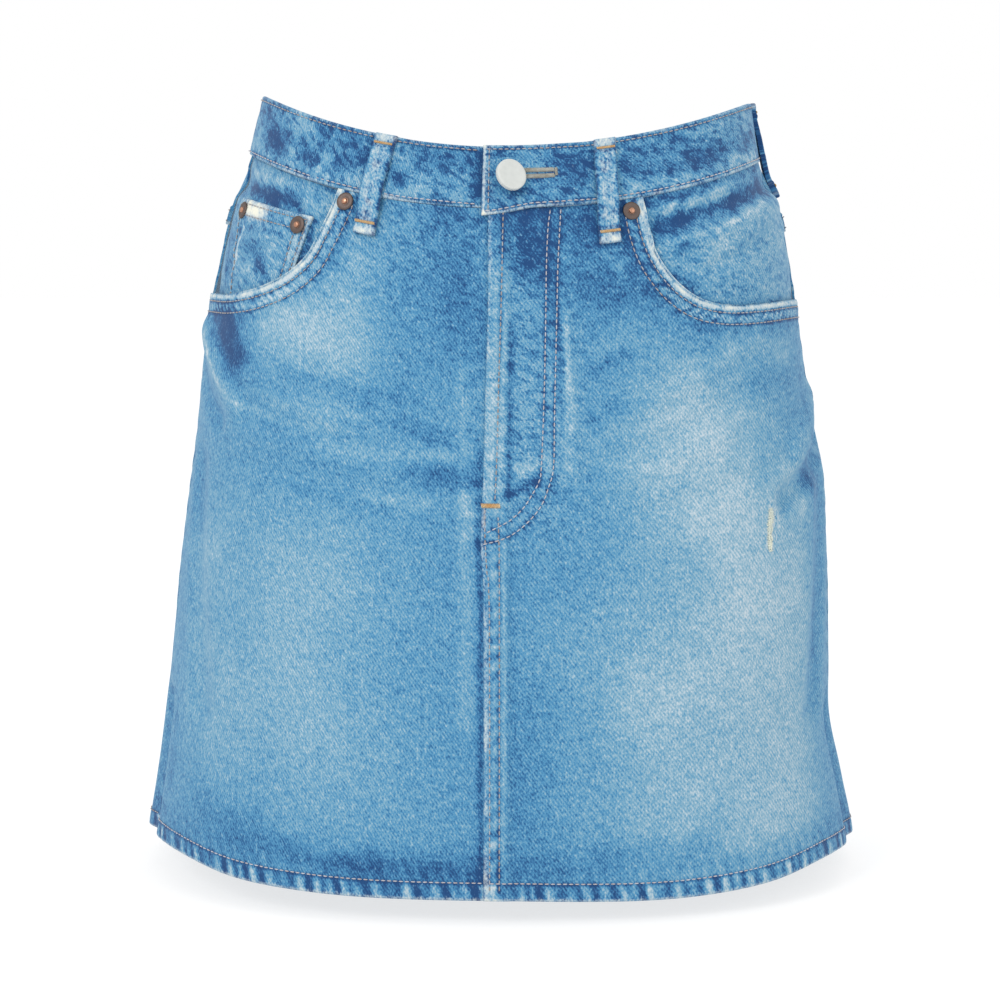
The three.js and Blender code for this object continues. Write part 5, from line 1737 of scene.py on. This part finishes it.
@dataclass
class BeltLoop(Cloth):
    """A folded strip sewn down over the waistband.

    Attributes:
        turn: degrees from the centre front, or None for a loop placed by its ways across.
        ways: the ways across of its top, middle and bottom.
        end: how far it reaches below the band.
        under: how far the pieces that it crosses stand above the cloth.
        shaded: how much painted shade darkens it and hides its rubbed white, from 0 to 1.
    """

    turn: float | None = None
    ways: tuple[float, float, float] = (0, 0, 0)
    end: float = 20.0
    under: float = 0.0
    shaded: float = 0.0

    WIDTH = 11.0
    CLOTH = 1.8
    FOLD = 8.0
    FOLD_CLOTH = 2.6
    BOW = 1.6
    SETTLES = 10.0
    WAIST_MM_PER_DEGREE = 2.35
    TOP_TACK = 5.0
    LOW_TACK = 6.0

    @property
    def length(self) -> float:
        """The loop's length."""
        return BAND_HEIGHT + self.end

    def to_end(self, spots: Spots) -> Array:
        """How far places lie from the nearer end."""
        return np.minimum(spots.down, self.length - spots.down)

    def place_at(self, half: Array, stop: Array) -> Spots:
        """Places on the loop by the way sideways from its middle and the way along it."""
        half, stop = np.broadcast_arrays(np.asarray(half, float), np.asarray(stop, float))
        down = stop - BAND_HEIGHT
        if self.turn is not None:
            middle = np.radians(self.turn)
            height = FORM.waist_seam(np.full(half.shape, middle)) - down
            turn = np.radians((self.turn + half / self.WAIST_MM_PER_DEGREE + 540) % 360 - 180)
            return Spots(half, stop, turn, height)
        share = stop / self.length
        top, middle, bottom = self.ways
        centre = mix(mix(top, middle, share), mix(middle, bottom, share), share)
        spots = FORM.spots(centre + half, down)
        return Spots(half, stop, spots.turn, spots.height)

    def grid(self) -> Spots:
        """Rows along the loop, columns over its width."""
        half = np.array([1.5, 3, 4.1, 4.8, 5.25, 5.5])
        halves = np.concatenate([-half[::-1], [0], half])
        near = np.array([0, 0.3, 0.8, 1.5])
        stops = np.concatenate([near, np.linspace(2.4, self.length - 2.4, 52), self.length - near[::-1]])
        return self.place_at(halves[None, :], stops[:, None])

    def thickness(self, spots: Spots) -> Array:
        """Thicker where the ends are folded under."""
        unfolded = ramp(self.FOLD - 0.6, self.FOLD + 0.8, self.to_end(spots))
        return mix(self.FOLD_CLOTH, self.CLOTH, unfolded)

    def layers(self, spots: Spots) -> Array:
        """Bowed over the waistband, with its edges rounded."""
        on_band = fade(0, self.SETTLES, spots.down - BAND_HEIGHT)
        bow = self.BOW * np.sin(np.pi * spots.down / self.length) ** 2
        level = SEAM_GAP + mix(self.under, BAND_CLOTH / 2, on_band) + bow + self.thickness(spots)
        level -= rounding(self.WIDTH / 2 - np.abs(spots.across), 0.8)
        return level - rounding(self.to_end(spots), 0.9)

    def relief(self, spots: Spots) -> Array:
        """A slight dip between the rolled edges, and the pinch of the tacks."""
        ridge = 0.22 * bell(np.abs(spots.across) - 4, 1.2)
        ridge += 0.1 * NOISE.at(spots.across / 3, spots.down / 5, 2)
        ridge -= 0.5 * bell(spots.down - self.TOP_TACK, 1.4)
        return ridge - 0.5 * bell(self.length - self.LOW_TACK - spots.down, 1.4)

    def looks(self, spots: Spots, relief: Array) -> tuple[Array, Array]:
        """Washed pale along the middle, dark beside the tacks, with white ends, painted shade on its rounded
        edges, and painted shade all over as far as it is shaded.
        """
        wash = 0.47 + 0.18 * NOISE.at(spots.across / 3 + self.seed, spots.down / 4, 3) + 0.3 * relief
        wash -= 0.40 * (bell(spots.down - 6.8, 1.0) + bell(self.length - 8.0 - spots.down, 1.0))
        # Painted shade on the rounded edges, and over the whole loop as far as it is shaded.
        wash -= 0.30 * ramp(3.9, 5.2, np.abs(spots.across)) + 0.30 * self.shaded
        rubbed = 0.8 + 0.6 * NOISE.at(spots.across / 2, spots.down / 3 + self.seed, 2)
        worn = 0.46 * bell(np.abs(spots.across) - 1.2, 3.0) * rubbed
        worn += 0.5 * bell(self.to_end(spots) - 1.8, 2.2)
        return wash, worn * (1 - 0.75 * self.shaded)


@dataclass
class Sewing:
    """Threads sewn on one piece of cloth, gathered into one mesh.

    Attributes:
        cloth: the piece that the threads lie on.
        name: the mesh's name.
        finish: the thread's finish.
        radius: half the thread's thickness.
        threads: the middle lines of the threads laid so far.
        normals: the directions square to the cloth along them.
    """

    cloth: Cloth
    name: str
    finish: Finish = Finish.THREAD
    radius: float = 0.34
    threads: list[Array] = field(default_factory=list)
    normals: list[Array] = field(default_factory=list)

    STITCH = 2.2
    GAP = 0.9
    RINGS = 5
    SIDES = 6

    def places(self, across: Array, down: Array) -> Spots:
        """Places on the cloth by their ways across and down."""
        return self.cloth.spots(across, down)

    def lay(self, across: Array, down: Array, lift: float = 0.12, arch: float = 0.3) -> None:
        """Lays threads, each given by the places of its rings.

        Args:
            across: the ways across, a row of rings for each thread.
            down: the ways down.
            lift: how far the thread's middle line lies above the cloth at its ends.
            arch: how much higher its middle stands.
        """
        spots = self.places(across, down)
        share = np.linspace(0, 1, self.RINGS)
        self.threads.append(self.cloth.surface(spots, lift + arch * np.sin(np.pi * share)[None, :]))
        self.normals.append(FORM.normal(spots.turn, spots.height))

    def line(self, line: Line, start: float = 0.0, end: float | None = None, aside: float = 0.0) -> None:
        """Sews a row of stitches along a line.

        Args:
            line: the line on the cloth.
            start: the way along it where the row starts.
            end: the way along it where the row ends, or None for the line's end.
            aside: how far the row is moved to the line's right.
        """
        end = line.long if end is None else end
        count = max(1, int((end - start) / (self.STITCH + self.GAP)))
        step = (end - start) / count
        firsts = start + step * np.arange(count)
        share = np.linspace(0, 1, self.RINGS)
        along = firsts[:, None] + (self.GAP / 2 + (step - self.GAP) * share)[None, :]
        across, down = line.at(along, aside)
        self.lay(across, down)

    def tack(self, across: float, down: float, long: float, tall: float, turned: float = 0.0) -> None:
        """Sews a bar tack: short threads side by side along a bar.

        Args:
            across: the bar's middle.
            down: the bar's middle.
            long: the bar's length.
            tall: the length of each thread across it.
            turned: degrees that the bar is turned from level.
        """
        count = int(long / (2 * self.radius)) + 1
        way = np.linspace(-long / 2, long / 2, count)[:, None]
        rise = np.linspace(-tall / 2, tall / 2, self.RINGS)[None, :]
        cosine, sine = math.cos(math.radians(turned)), math.sin(math.radians(turned))
        lean = way + 0.25 * rise
        self.lay(across + lean * cosine - rise * sine, down + lean * sine + rise * cosine, 0.15, 0.42)

    def build(self) -> None:
        """Makes the mesh of all threads and lets it ride with the skirt."""
        middle = np.concatenate(self.threads)
        normal = np.concatenate(self.normals)
        count = len(middle)
        ahead = np.gradient(middle, axis=1)
        ahead /= np.linalg.norm(ahead, axis=-1, keepdims=True)
        beside = np.cross(ahead, normal)
        beside /= np.linalg.norm(beside, axis=-1, keepdims=True)
        up = np.cross(beside, ahead)
        angle = 2 * np.pi * np.arange(self.SIDES) / self.SIDES
        swell = self.radius * np.array([0.55, 0.95, 1.05, 0.95, 0.55])[None, :, None, None]
        around = np.cos(angle)[:, None] * beside[:, :, None, :] + np.sin(angle)[:, None] * up[:, :, None, :]
        points = (middle[:, :, None, :] + swell * around).reshape(-1, 3)
        ring = np.arange(self.SIDES)
        after = np.roll(ring, -1)
        faces: list[list[int]] = []
        for k in range(self.RINGS - 1):
            low, high = k * self.SIDES, (k + 1) * self.SIDES
            faces += [[low + a, high + a, high + b, low + b] for a, b in zip(ring, after)]
        last = (self.RINGS - 1) * self.SIDES
        faces += [list(ring), [last + a for a in ring[::-1]]]
        size = self.RINGS * self.SIDES
        every = [[corner + size * n for corner in face] for n in range(count) for face in faces]
        piece = make_mesh(self.name, points, every, [self.finish], None, {}, None)
        take(piece)
        bpy.ops.object.mode_set(mode="EDIT")
        bpy.ops.mesh.select_all(action="SELECT")
        bpy.ops.mesh.normals_make_consistent(inside=False)
        bpy.ops.object.mode_set(mode="OBJECT")
        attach(piece, BODY)
        self.cloth.sewn.append(piece)
        log.info("%s: %d threads", self.name, count)


def straight(*places: tuple[float, float]) -> Line:
    """A line of straight parts through places."""
    return Line(np.array(places, float), 1)


def hem_line(start: float, end: float, behind: int = 0) -> Line:
    """The hem's stitch line between two ways across."""
    ways = np.linspace(start, end, 60)
    guess = np.full(ways.shape, BACK_LENGTH if behind else FRONT_LENGTH)
    return Line(np.stack([ways, hem_down(lambda down: ways, guess, behind) - HEM_FOLD], -1), 1)


@dataclass(frozen=True)
class Turned:
    """A round fastening, modelled standing on its axis and then stood on the cloth."""

    name: str
    node: str
    slot: str
    finish: Finish
    across: float
    down: float
    level: float
    tilt: float = 0.0

    ROUNDED = 0.22

    def stand(self, piece: bpy.types.Object) -> None:
        """Stands the finished piece square to the cloth, tilted about the vertical."""
        spots = FORM.spots(np.array([self.across]), np.array([self.down]))
        place = Vector(FORM.place(spots, np.array([self.level]))[0] * MM)
        normal = Vector(FORM.normal(spots.turn, spots.height)[0])
        normal.rotate(Matrix.Rotation(math.radians(self.tilt), 3, "Z"))
        turn = Vector((0, 0, 1)).rotation_difference(normal).to_matrix().to_4x4()
        piece.data.transform(Matrix.Translation(place) @ turn)
        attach(piece, BODY)
        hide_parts(self.node)
        log.info("%s stands at %.0f across, %.0f down", self.name, self.across, self.down)

    def lathe(self, sides: int, radius: float, thick: float, start: float,
              insets: Sequence[tuple[float, float]], polish_within: float) -> bpy.types.Object:
        """Models a disc whose top face is inset and raised or sunk step by step.

        Args:
            sides: how many sides the disc has.
            radius: the disc's radius.
            thick: the disc's thickness.
            start: the height of the disc's underside.
            insets: for each step, how far the top face is inset and raised.
            polish_within: the radius inside which the metal is polished.

        Returns:
            The object, its axis along Z.
        """
        deselect()
        bpy.ops.mesh.primitive_cylinder_add(vertices=sides, radius=radius * MM, depth=thick * MM,
                                            location=(0, 0, (start + thick / 2) * MM))
        piece = bpy.context.active_object
        piece.name = piece.data.name = self.name
        bpy.ops.object.transform_apply(location=True, rotation=True, scale=True)
        bpy.ops.object.mode_set(mode="EDIT")
        bpy.ops.mesh.select_mode(type="FACE")
        bpy.ops.mesh.select_all(action="DESELECT")
        shape = bmesh.from_edit_mesh(piece.data)
        for face in shape.faces:
            face.select_set(face.normal.z > 0.9)
        bmesh.update_edit_mesh(piece.data)
        for inset, rise in insets:
            bpy.ops.mesh.inset(thickness=inset * MM, depth=rise * MM)
        bpy.ops.object.mode_set(mode="OBJECT")
        rounder = piece.modifiers.new("rounded", "BEVEL")
        rounder.width = self.ROUNDED * MM
        rounder.segments = 2
        rounder.limit_method = "ANGLE"
        bpy.ops.object.modifier_apply(modifier=rounder.name)
        bpy.ops.object.shade_smooth_by_angle(angle=math.radians(40))
        away = np.array([vertex.co.xy.length for vertex in piece.data.vertices])
        polish = (away < polish_within * MM).astype(np.float32)
        piece.data.attributes.new("polish", "FLOAT", "POINT").data.foreach_set("value", polish)
        piece.data.materials.clear()
        piece.data.materials.append(material_of(self.finish))
        return piece


@dataclass(frozen=True)
class FlyButton(Turned):
    """The shank button: a plain disc with a rounded rim on a neck."""

    RADIUS = 8.3
    THICK = 2.2
    NECK = 3.4
    NECK_RADIUS = 3.0
    RIM = ((0.35, 0.28), (0.5, 0.14), (1.2, 0.0), (0.4, -0.1), (5.0, -0.02))

    def build(self) -> None:
        """Models the disc, draws the neck down from its underside, and stands it on the band."""
        piece = self.lathe(64, self.RADIUS, self.THICK, self.NECK, self.RIM, 0)
        take(piece)
        bpy.ops.object.mode_set(mode="EDIT")
        bpy.ops.mesh.select_all(action="DESELECT")
        shape = bmesh.from_edit_mesh(piece.data)
        min(shape.faces, key=self.lowness).select_set(True)
        bmesh.update_edit_mesh(piece.data)
        bpy.ops.mesh.inset(thickness=(self.RADIUS - self.NECK_RADIUS - self.ROUNDED) * MM, depth=0)
        bpy.ops.mesh.extrude_region_move(TRANSFORM_OT_translate={"value": (0, 0, -self.NECK * MM)})
        bpy.ops.object.mode_set(mode="OBJECT")
        self.stand(piece)

    @staticmethod
    def lowness(face: bmesh.types.BMFace) -> tuple[float, float]:
        """Sorts faces so that the lowest and then the largest comes first."""
        return round(face.calc_center_median().z, 6), -face.calc_area()


@dataclass(frozen=True)
class Rivet(Turned):
    """A stamped rivet: a low ring round a nub."""

    RADIUS = 4.7
    THICK = 0.4
    NUB = 1.75
    STEPS = ((0.35, 0.3), (0.6, 0.2), (0.9, 0.05), (0.8, -0.25), (0.45, -0.05), (0.12, 0.75), (0.4, 0.22))

    def build(self) -> None:
        """Models the cap and its nub, and stands it on the cloth."""
        self.stand(self.lathe(40, self.RADIUS, self.THICK, 0, self.STEPS, self.NUB))


class Skirt:
    """The whole skirt, piece by piece."""

    BUTTON = (1.3, -13.8)
    BUTTONHOLE = (17.6, -16.6)
    FLY_TACK = (-7.0, 151.7)
    FRONT_RIVETS = {"rivet_pocket_right": (-83.8, 5.6), "rivet_pocket_left": (66.0, 6.2)}
    COIN_RIVETS = {"rivet_coin_inner": (-113.0, 23.5), "rivet_coin_outer": (-162.5, 26.5)}
    RIVET_GAP = 0.1

    def __init__(self) -> None:
        """Names every piece of cloth with its cut."""
        right, left = Side.RIGHT, Side.LEFT
        self.waistband = Waistband("waistband", "denim_band", (0.80, 0.032), seed=1, creased=0.68)
        self.fronts = {
            right: FrontPanel("front_right", "denim", (0.25, 0.355), 0.82, seed=2, side=right),
            left: FrontPanel("front_left", "denim", (0.26, 0.355), 0.82, seed=3, side=left),
        }
        facing = "denim_facing"
        self.facings = {
            right: PocketFacing("pocket_facing_right", facing, (0.13, 0.09), 0.7, seed=4, creased=0.55,
                                side=right),
            left: PocketFacing("pocket_facing_left", facing, (0.15, 0.09), 0.7, seed=5, creased=0.5,
                               side=left),
        }
        self.coin = CoinPocket("coin_pocket", facing, (0.066, 0.058), 0.85, seed=6, creased=0.6,
                               facing=self.facings[right])
        self.yokes: dict[Side, Yoke] = {}
        self.backs: dict[Side, BackPanel] = {}
        self.pockets: dict[Side, BackPocket] = {}
        for side in Side:
            sign = side.value
            shared = {"slot": "denim", "behind": sign, "side": side}
            self.yokes[side] = Yoke(f"yoke_{side.word}", flat=(0.25, 0.068), share=0.75, seed=7 + sign,
                                    **shared)
            panel = BackPanel(f"back_{side.word}", flat=(0.32, 0.325), share=0.85, seed=11 + sign, **shared)
            self.backs[side] = panel
            self.pockets[side] = BackPocket(f"back_pocket_{side.word}", flat=(0.128, 0.14), share=0.9,
                                            seed=15 + sign, panel=panel, **shared)
        loop = {"slot": "denim_loop", "flat": (0.013, 0.054), "creased": 0.7}
        self.loops = [
            BeltLoop("belt_loop_front_right", ways=(-60.6, -68.6, -72.8), under=RIM_RAISE, seed=21, **loop),
            BeltLoop("belt_loop_front_left", ways=(51.6, 52.1, 54.8), end=21, seed=22, **loop),
            BeltLoop("belt_loop_side_right", turn=-104, under=0.4, seed=23, **loop),
            BeltLoop("belt_loop_side_left", turn=91, under=0.4, shaded=0.45, seed=24, **loop),
            BeltLoop("belt_loop_back", turn=180, under=FELL_RAISE, seed=25, **loop),
        ]

    def sew_front(self) -> None:
        """Sews the fly, the centre seam, the pocket mouths and the hem in front."""
        for side, panel in self.fronts.items():
            sewing = Sewing(panel, f"stitches_front_{side.word}")
            pale = Sewing(panel, f"stitches_pale_front_{side.word}", Finish.PALE_THREAD)
            mouth = MOUTH[side]
            for aside in RIM_STITCHES:
                sewing.line(mouth, 3.0, mouth.long - 1, -side.value * aside)
            if panel.laps:
                for line in FLY_LINES:
                    pale.line(line)
                for line in (FLY_EDGE_STITCH, *SEAM_STITCHES):
                    sewing.line(line)
            seam = float(FORM.side_seam(side, np.array([350.0]))[0])
            start = -8.0 if panel.laps else -11.0
            pale.line(hem_line(start, seam - side.value * 1.5))
            sewing.build()
            pale.build()
            if panel.laps:
                tack = Sewing(panel, "tack_fly", Finish.TACK)
                tack.tack(*self.FLY_TACK, 9.0, 2.4)
                tack.build()
                self.fray(panel)

    def fray(self, panel: FrontPanel) -> None:
        """Lays the bared weft threads of the small scuff on the left thigh, each a little askew."""
        threads = Sewing(panel, "frayed_scuff", Finish.FRAYED, radius=0.22)
        chance = np.random.default_rng(5)
        downs = np.arange(173.5, 196, 0.55)
        middle = scuff_middle(downs) + chance.normal(0, 0.25, len(downs))
        reach = 1.0 + 1.5 * bell(downs - 179, 5) + 0.5 * bell(downs - 191, 4)
        reach *= chance.uniform(0.7, 1.25, len(downs))
        share = np.linspace(-1, 1, Sewing.RINGS)[None, :]
        slope = chance.normal(0, 0.35, len(downs))[:, None]
        threads.lay(middle[:, None] + reach[:, None] * share, downs[:, None] + slope * share, 0.08, 0.30)
        for across in (148.4, 149.6, 150.3):
            ways = np.linspace(176, 193, 5)[:, None] + 2.0 * share
            threads.lay(across + 0.5 * np.sin(ways), ways, 0.30, 0.25)
        threads.build()

    def sew_coin_pocket(self) -> None:
        """Sews the coin pocket's top hem and sides."""
        sewing = Sewing(self.coin, "stitches_coin_pocket", radius=0.3)
        sewing.line(straight((-107, 19.6), (-164, 22.8)))
        sewing.line(straight((-108.5, 25.2), (-165, 28.6)))
        sewing.line(straight((-107, 19.6), (-121.5, 54)))
        sewing.line(straight((-112.4, 20), (-126.5, 56)))
        sewing.line(straight((-166, 23), (-170.5, 72)))
        sewing.build()

    def sew_back(self) -> None:
        """Sews the yoke seams, the centre back seam, the back pockets and the hem behind."""
        for side in Side:
            low, high = (float(FORM.back_width(side, np.array([down]))[0]) for down in (350.0, 45.0))
            sewing = Sewing(self.backs[side], f"stitches_back_{side.word}")
            sewing.line(hem_line(0.8, low - 1.5, side.value))
            above = Sewing(self.yokes[side], f"stitches_yoke_{side.word}")
            ways = np.linspace(1, high - 1.5, 40)
            for way in FELL_STITCHES:
                above.line(Line(np.stack([ways, yoke_seam(side, ways) - way], -1), 1))
            if side is Side.LEFT:
                for out in FELL_STITCHES:
                    sewing.line(straight((out, YOKE_CENTRE), (out, 344)))
                    above.line(straight((out, 1), (out, YOKE_CENTRE - 11)))
            sewing.build()
            above.build()
            self.sew_back_pocket(self.pockets[side])

    def sew_back_pocket(self, pocket: BackPocket) -> None:
        """Sews a back pocket's two rows of stitches, its hem and its tacks."""
        sewing = Sewing(pocket, f"stitches_{pocket.node}")
        for margin in (2.2, 8.0):
            share = np.array([0, 0.5, 1])
            top, bottom = pocket.lines(share)
            inner, beyond = pocket_sides(np.array([top[0], bottom[0] - margin]))
            _, outer = pocket_sides(np.array([top[2], bottom[2] - margin]))
            middle = 0.5 * (inner[1] + beyond[1])
            sewing.line(straight((inner[0] + margin, top[0] + 0.8), (inner[1] + margin, bottom[0] - margin),
                                 (middle, bottom[1] - margin), (outer[1] - margin, bottom[2] - margin),
                                 (outer[0] - margin, top[2] + 0.8)))
        inner, outer = pocket_sides(np.array([BACK_POCKET_TOP[0]]))
        for below in (2.6, pocket.hem - 1.2):
            sewing.line(straight((inner[0] + 1.5, BACK_POCKET_TOP[0] + below),
                                 (outer[0] - 1.5, BACK_POCKET_TOP[1] + below)))
        sewing.build()
        tacks = Sewing(pocket, f"tacks_{pocket.node}", Finish.TACK)
        tacks.tack(inner[0] + 5, BACK_POCKET_TOP[0] + 1.8, 6.5, 1.8)
        tacks.tack(outer[0] - 5, BACK_POCKET_TOP[1] + 1.8, 6.5, 1.8)
        tacks.build()

    def sew_waistband(self) -> None:
        """Sews along both edges and the end of the waistband, and works its buttonhole."""
        band = WaistSewing(self.waistband, "stitches_waistband", radius=0.33)
        band.round_band(-BAND_HEIGHT + 2.3)
        band.down_end(3.3)
        band.build()
        lower = WaistSewing(self.waistband, "stitches_waist_seam", Finish.PALE_THREAD)
        lower.round_band(-2.0)
        lower.build()
        hole = WaistSewing(self.waistband, "buttonhole", Finish.BUTTONHOLE, radius=0.3)
        across, down = self.BUTTONHOLE
        for rise in (-1.5, 1.5):
            hole.tack(across, down + rise, 15.0, 2.3)
        hole.tack(across + 8.8, down - 0.3, 3.6, 1.6, 90)
        hole.build()

    def sew_loops(self) -> None:
        """Sews each belt loop's two bar tacks."""
        for loop in self.loops:
            tacks = LoopSewing(loop, f"tacks_{loop.node}", Finish.TACK, radius=0.3)
            tacks.tack(0, loop.TOP_TACK, 9.0, 1.3)
            tacks.tack(0, loop.length - loop.LOW_TACK, 10.0, 1.5)
            tacks.build()

    def build(self) -> None:
        """Builds and sews every piece in order."""
        self.sew_front()
        self.sew_coin_pocket()
        self.sew_back()
        self.sew_waistband()
        self.sew_loops()
        self.waistband.declare(self.waistband.build(), [])
        for group in (self.fronts, self.facings, self.yokes):
            for cloth in group.values():
                cloth.declare(cloth.build(), ["waistband"])
        self.coin.declare(self.coin.build(), ["pocket_facing_right"])
        for side in Side:
            self.backs[side].declare(self.backs[side].build(), [f"yoke_{side.word}"])
            self.pockets[side].declare(self.pockets[side].build(), [f"back_{side.word}"])
        for loop in self.loops:
            loop.declare(loop.build(), ["waistband"])
        self.fasten()

    def fasten(self) -> None:
        """Sets the button and the four rivets."""
        dip = FlyButton.NECK_RADIUS * math.sin(math.radians(BUTTON_TILT))
        level = OVERLAP_LIFT + BAND_CLOTH / 2 + dip + SEAM_GAP
        FlyButton("button", "fly_button", "button", Finish.PEARL, *self.BUTTON, level, BUTTON_TILT).build()
        for node, place in self.FRONT_RIVETS.items():
            level = RIM_RAISE + self.RIVET_GAP
            Rivet(f"cap_{node}", node, "rivet", Finish.COPPER, *place, level).build()
        for node, place in self.COIN_RIVETS.items():
            facing = self.facings[Side.RIGHT].layers(self.coin.spots(*np.array(place)[:, None]))
            level = float(facing[0]) + LAYER_GAP + COIN_CLOTH + 0.4 + self.RIVET_GAP
            Rivet(f"cap_{node}", node, "rivet", Finish.COPPER, *place, level).build()


@dataclass
class WaistSewing(Sewing):
    """Threads on the waistband, whose places are given round the band."""

    def places(self, across: Array, down: Array) -> Spots:
        """Places by the way round the band and the way down."""
        across, down = np.broadcast_arrays(across, down)
        way = from_front(across)
        turn = np.clip(way / 145, -3.1, 3.1)
        height = FORM.waist_seam(turn) + BAND_HEIGHT / 2
        for _ in range(6):
            turn = FORM.turn_at(way, height, turn)
            height = FORM.waist_seam(turn) + BAND_HEIGHT / 2
        return Spots(across, down, turn, FORM.waist_seam(turn) - down)

    def round_band(self, down: float) -> None:
        """Sews round the band at a way down, dropping with its corner in front."""
        full = FORM.full_length()
        ways = np.linspace(OVERLAP_END + 1.5, full + OVERLAP_END - 3, 300)
        lower = ramp(-BAND_HEIGHT, 0, np.array([down]))[0]
        drop = front_drop(ways) * lower
        self.line(Line(np.stack([ways, down + drop], -1), 1))

    def down_end(self, inside: float) -> None:
        """Sews down the end on top."""
        way = OVERLAP_END + inside
        self.line(straight((way, -BAND_HEIGHT + 2), (way, 1.6)))


@dataclass
class LoopSewing(Sewing):
    """Threads on a belt loop, whose places are given sideways and along it."""

    def places(self, across: Array, down: Array) -> Spots:
        """Places by the way sideways and the way along the loop."""
        return self.cloth.place_at(across, down)


class Studio:
    """A pale floor, soft light and the camera in front."""

    EYE = (-2.24, -1500.0, -62.0)
    AIM = (-2.24, 0.0, -206.0)
    MM_PER_PIXEL = 0.56
    IMAGE_WIDTH = 1000
    SENSOR = 36.0
    FLOOR = -409.0
    # Each light's place and size in metres, and its power in watts.
    LIGHTS = {
        "key": ((-1.3, -1.9, 1.2), 0.9, 22),
        "fill": ((1.5, -1.6, 0.5), 1.6, 7),
        "back": ((0.3, 1.8, 1.2), 1.6, 8),
    }

    def camera(self) -> None:
        """Sets the camera where the picture was taken from."""
        data = bpy.data.cameras.new("camera")
        eye, aim = Vector(self.EYE), Vector(self.AIM)
        data.sensor_width = self.SENSOR
        data.lens = self.SENSOR * (aim - eye).length / self.MM_PER_PIXEL / self.IMAGE_WIDTH
        data.clip_start, data.clip_end = 0.05, 50
        camera = bpy.data.objects.new("camera", data)
        camera.location = eye * MM
        camera.rotation_euler = (aim - eye).to_track_quat("-Z", "Y").to_euler()
        bpy.context.scene.collection.objects.link(camera)
        bpy.context.scene.camera = camera

    def floor(self) -> None:
        """Lays a plain pale light table under the skirt, so that its shadow stays soft and light."""
        deselect()
        bpy.ops.mesh.primitive_plane_add(size=30, location=(0, 0, self.FLOOR * MM))
        floor = bpy.context.active_object
        floor.name = "floor"
        nodes = Nodes("pale_floor")
        shader = nodes.add("BsdfPrincipled", Base_Color=srgb("#a0a0a0"), Roughness=1.0,
                           Specular_IOR_Level=0.0, Emission_Color=(1, 1, 1, 1), Emission_Strength=0.68)
        floor.data.materials.append(nodes.finish(shader))

    def light(self, name: str, place: tuple[float, float, float], size: float, power: float) -> None:
        """Adds a soft square light that faces the skirt.

        Args:
            name: the light's name.
            place: its place in metres.
            size: its width in metres.
            power: its power in watts.
        """
        data = bpy.data.lights.new(name, "AREA")
        data.shape = "SQUARE"
        data.size = size
        data.energy = power
        lamp = bpy.data.objects.new(name, data)
        lamp.location = place
        lamp.rotation_euler = (Vector((0, 0, -0.2)) - Vector(place)).to_track_quat("-Z", "Y").to_euler()
        bpy.context.scene.collection.objects.link(lamp)

    def build(self) -> None:
        """Builds the camera, the floor and the lights."""
        scene = bpy.context.scene
        scene.view_settings.view_transform = "Standard"
        self.camera()
        self.floor()
        for name, (place, size, power) in self.LIGHTS.items():
            self.light(name, place, size, power)
        world = bpy.data.worlds.new("studio")
        world.use_nodes = True
        sky = world.node_tree.nodes["Background"]
        sky.inputs["Color"].default_value = (1, 1, 1, 1)
        sky.inputs["Strength"].default_value = 1.0
        scene.world = world


def main() -> None:
    """Builds the skirt and its studio."""
    logging.basicConfig(level=logging.INFO, format="%(message)s")
    Skirt().build()
    Studio().build()


if __name__ == "__main__":
    main()
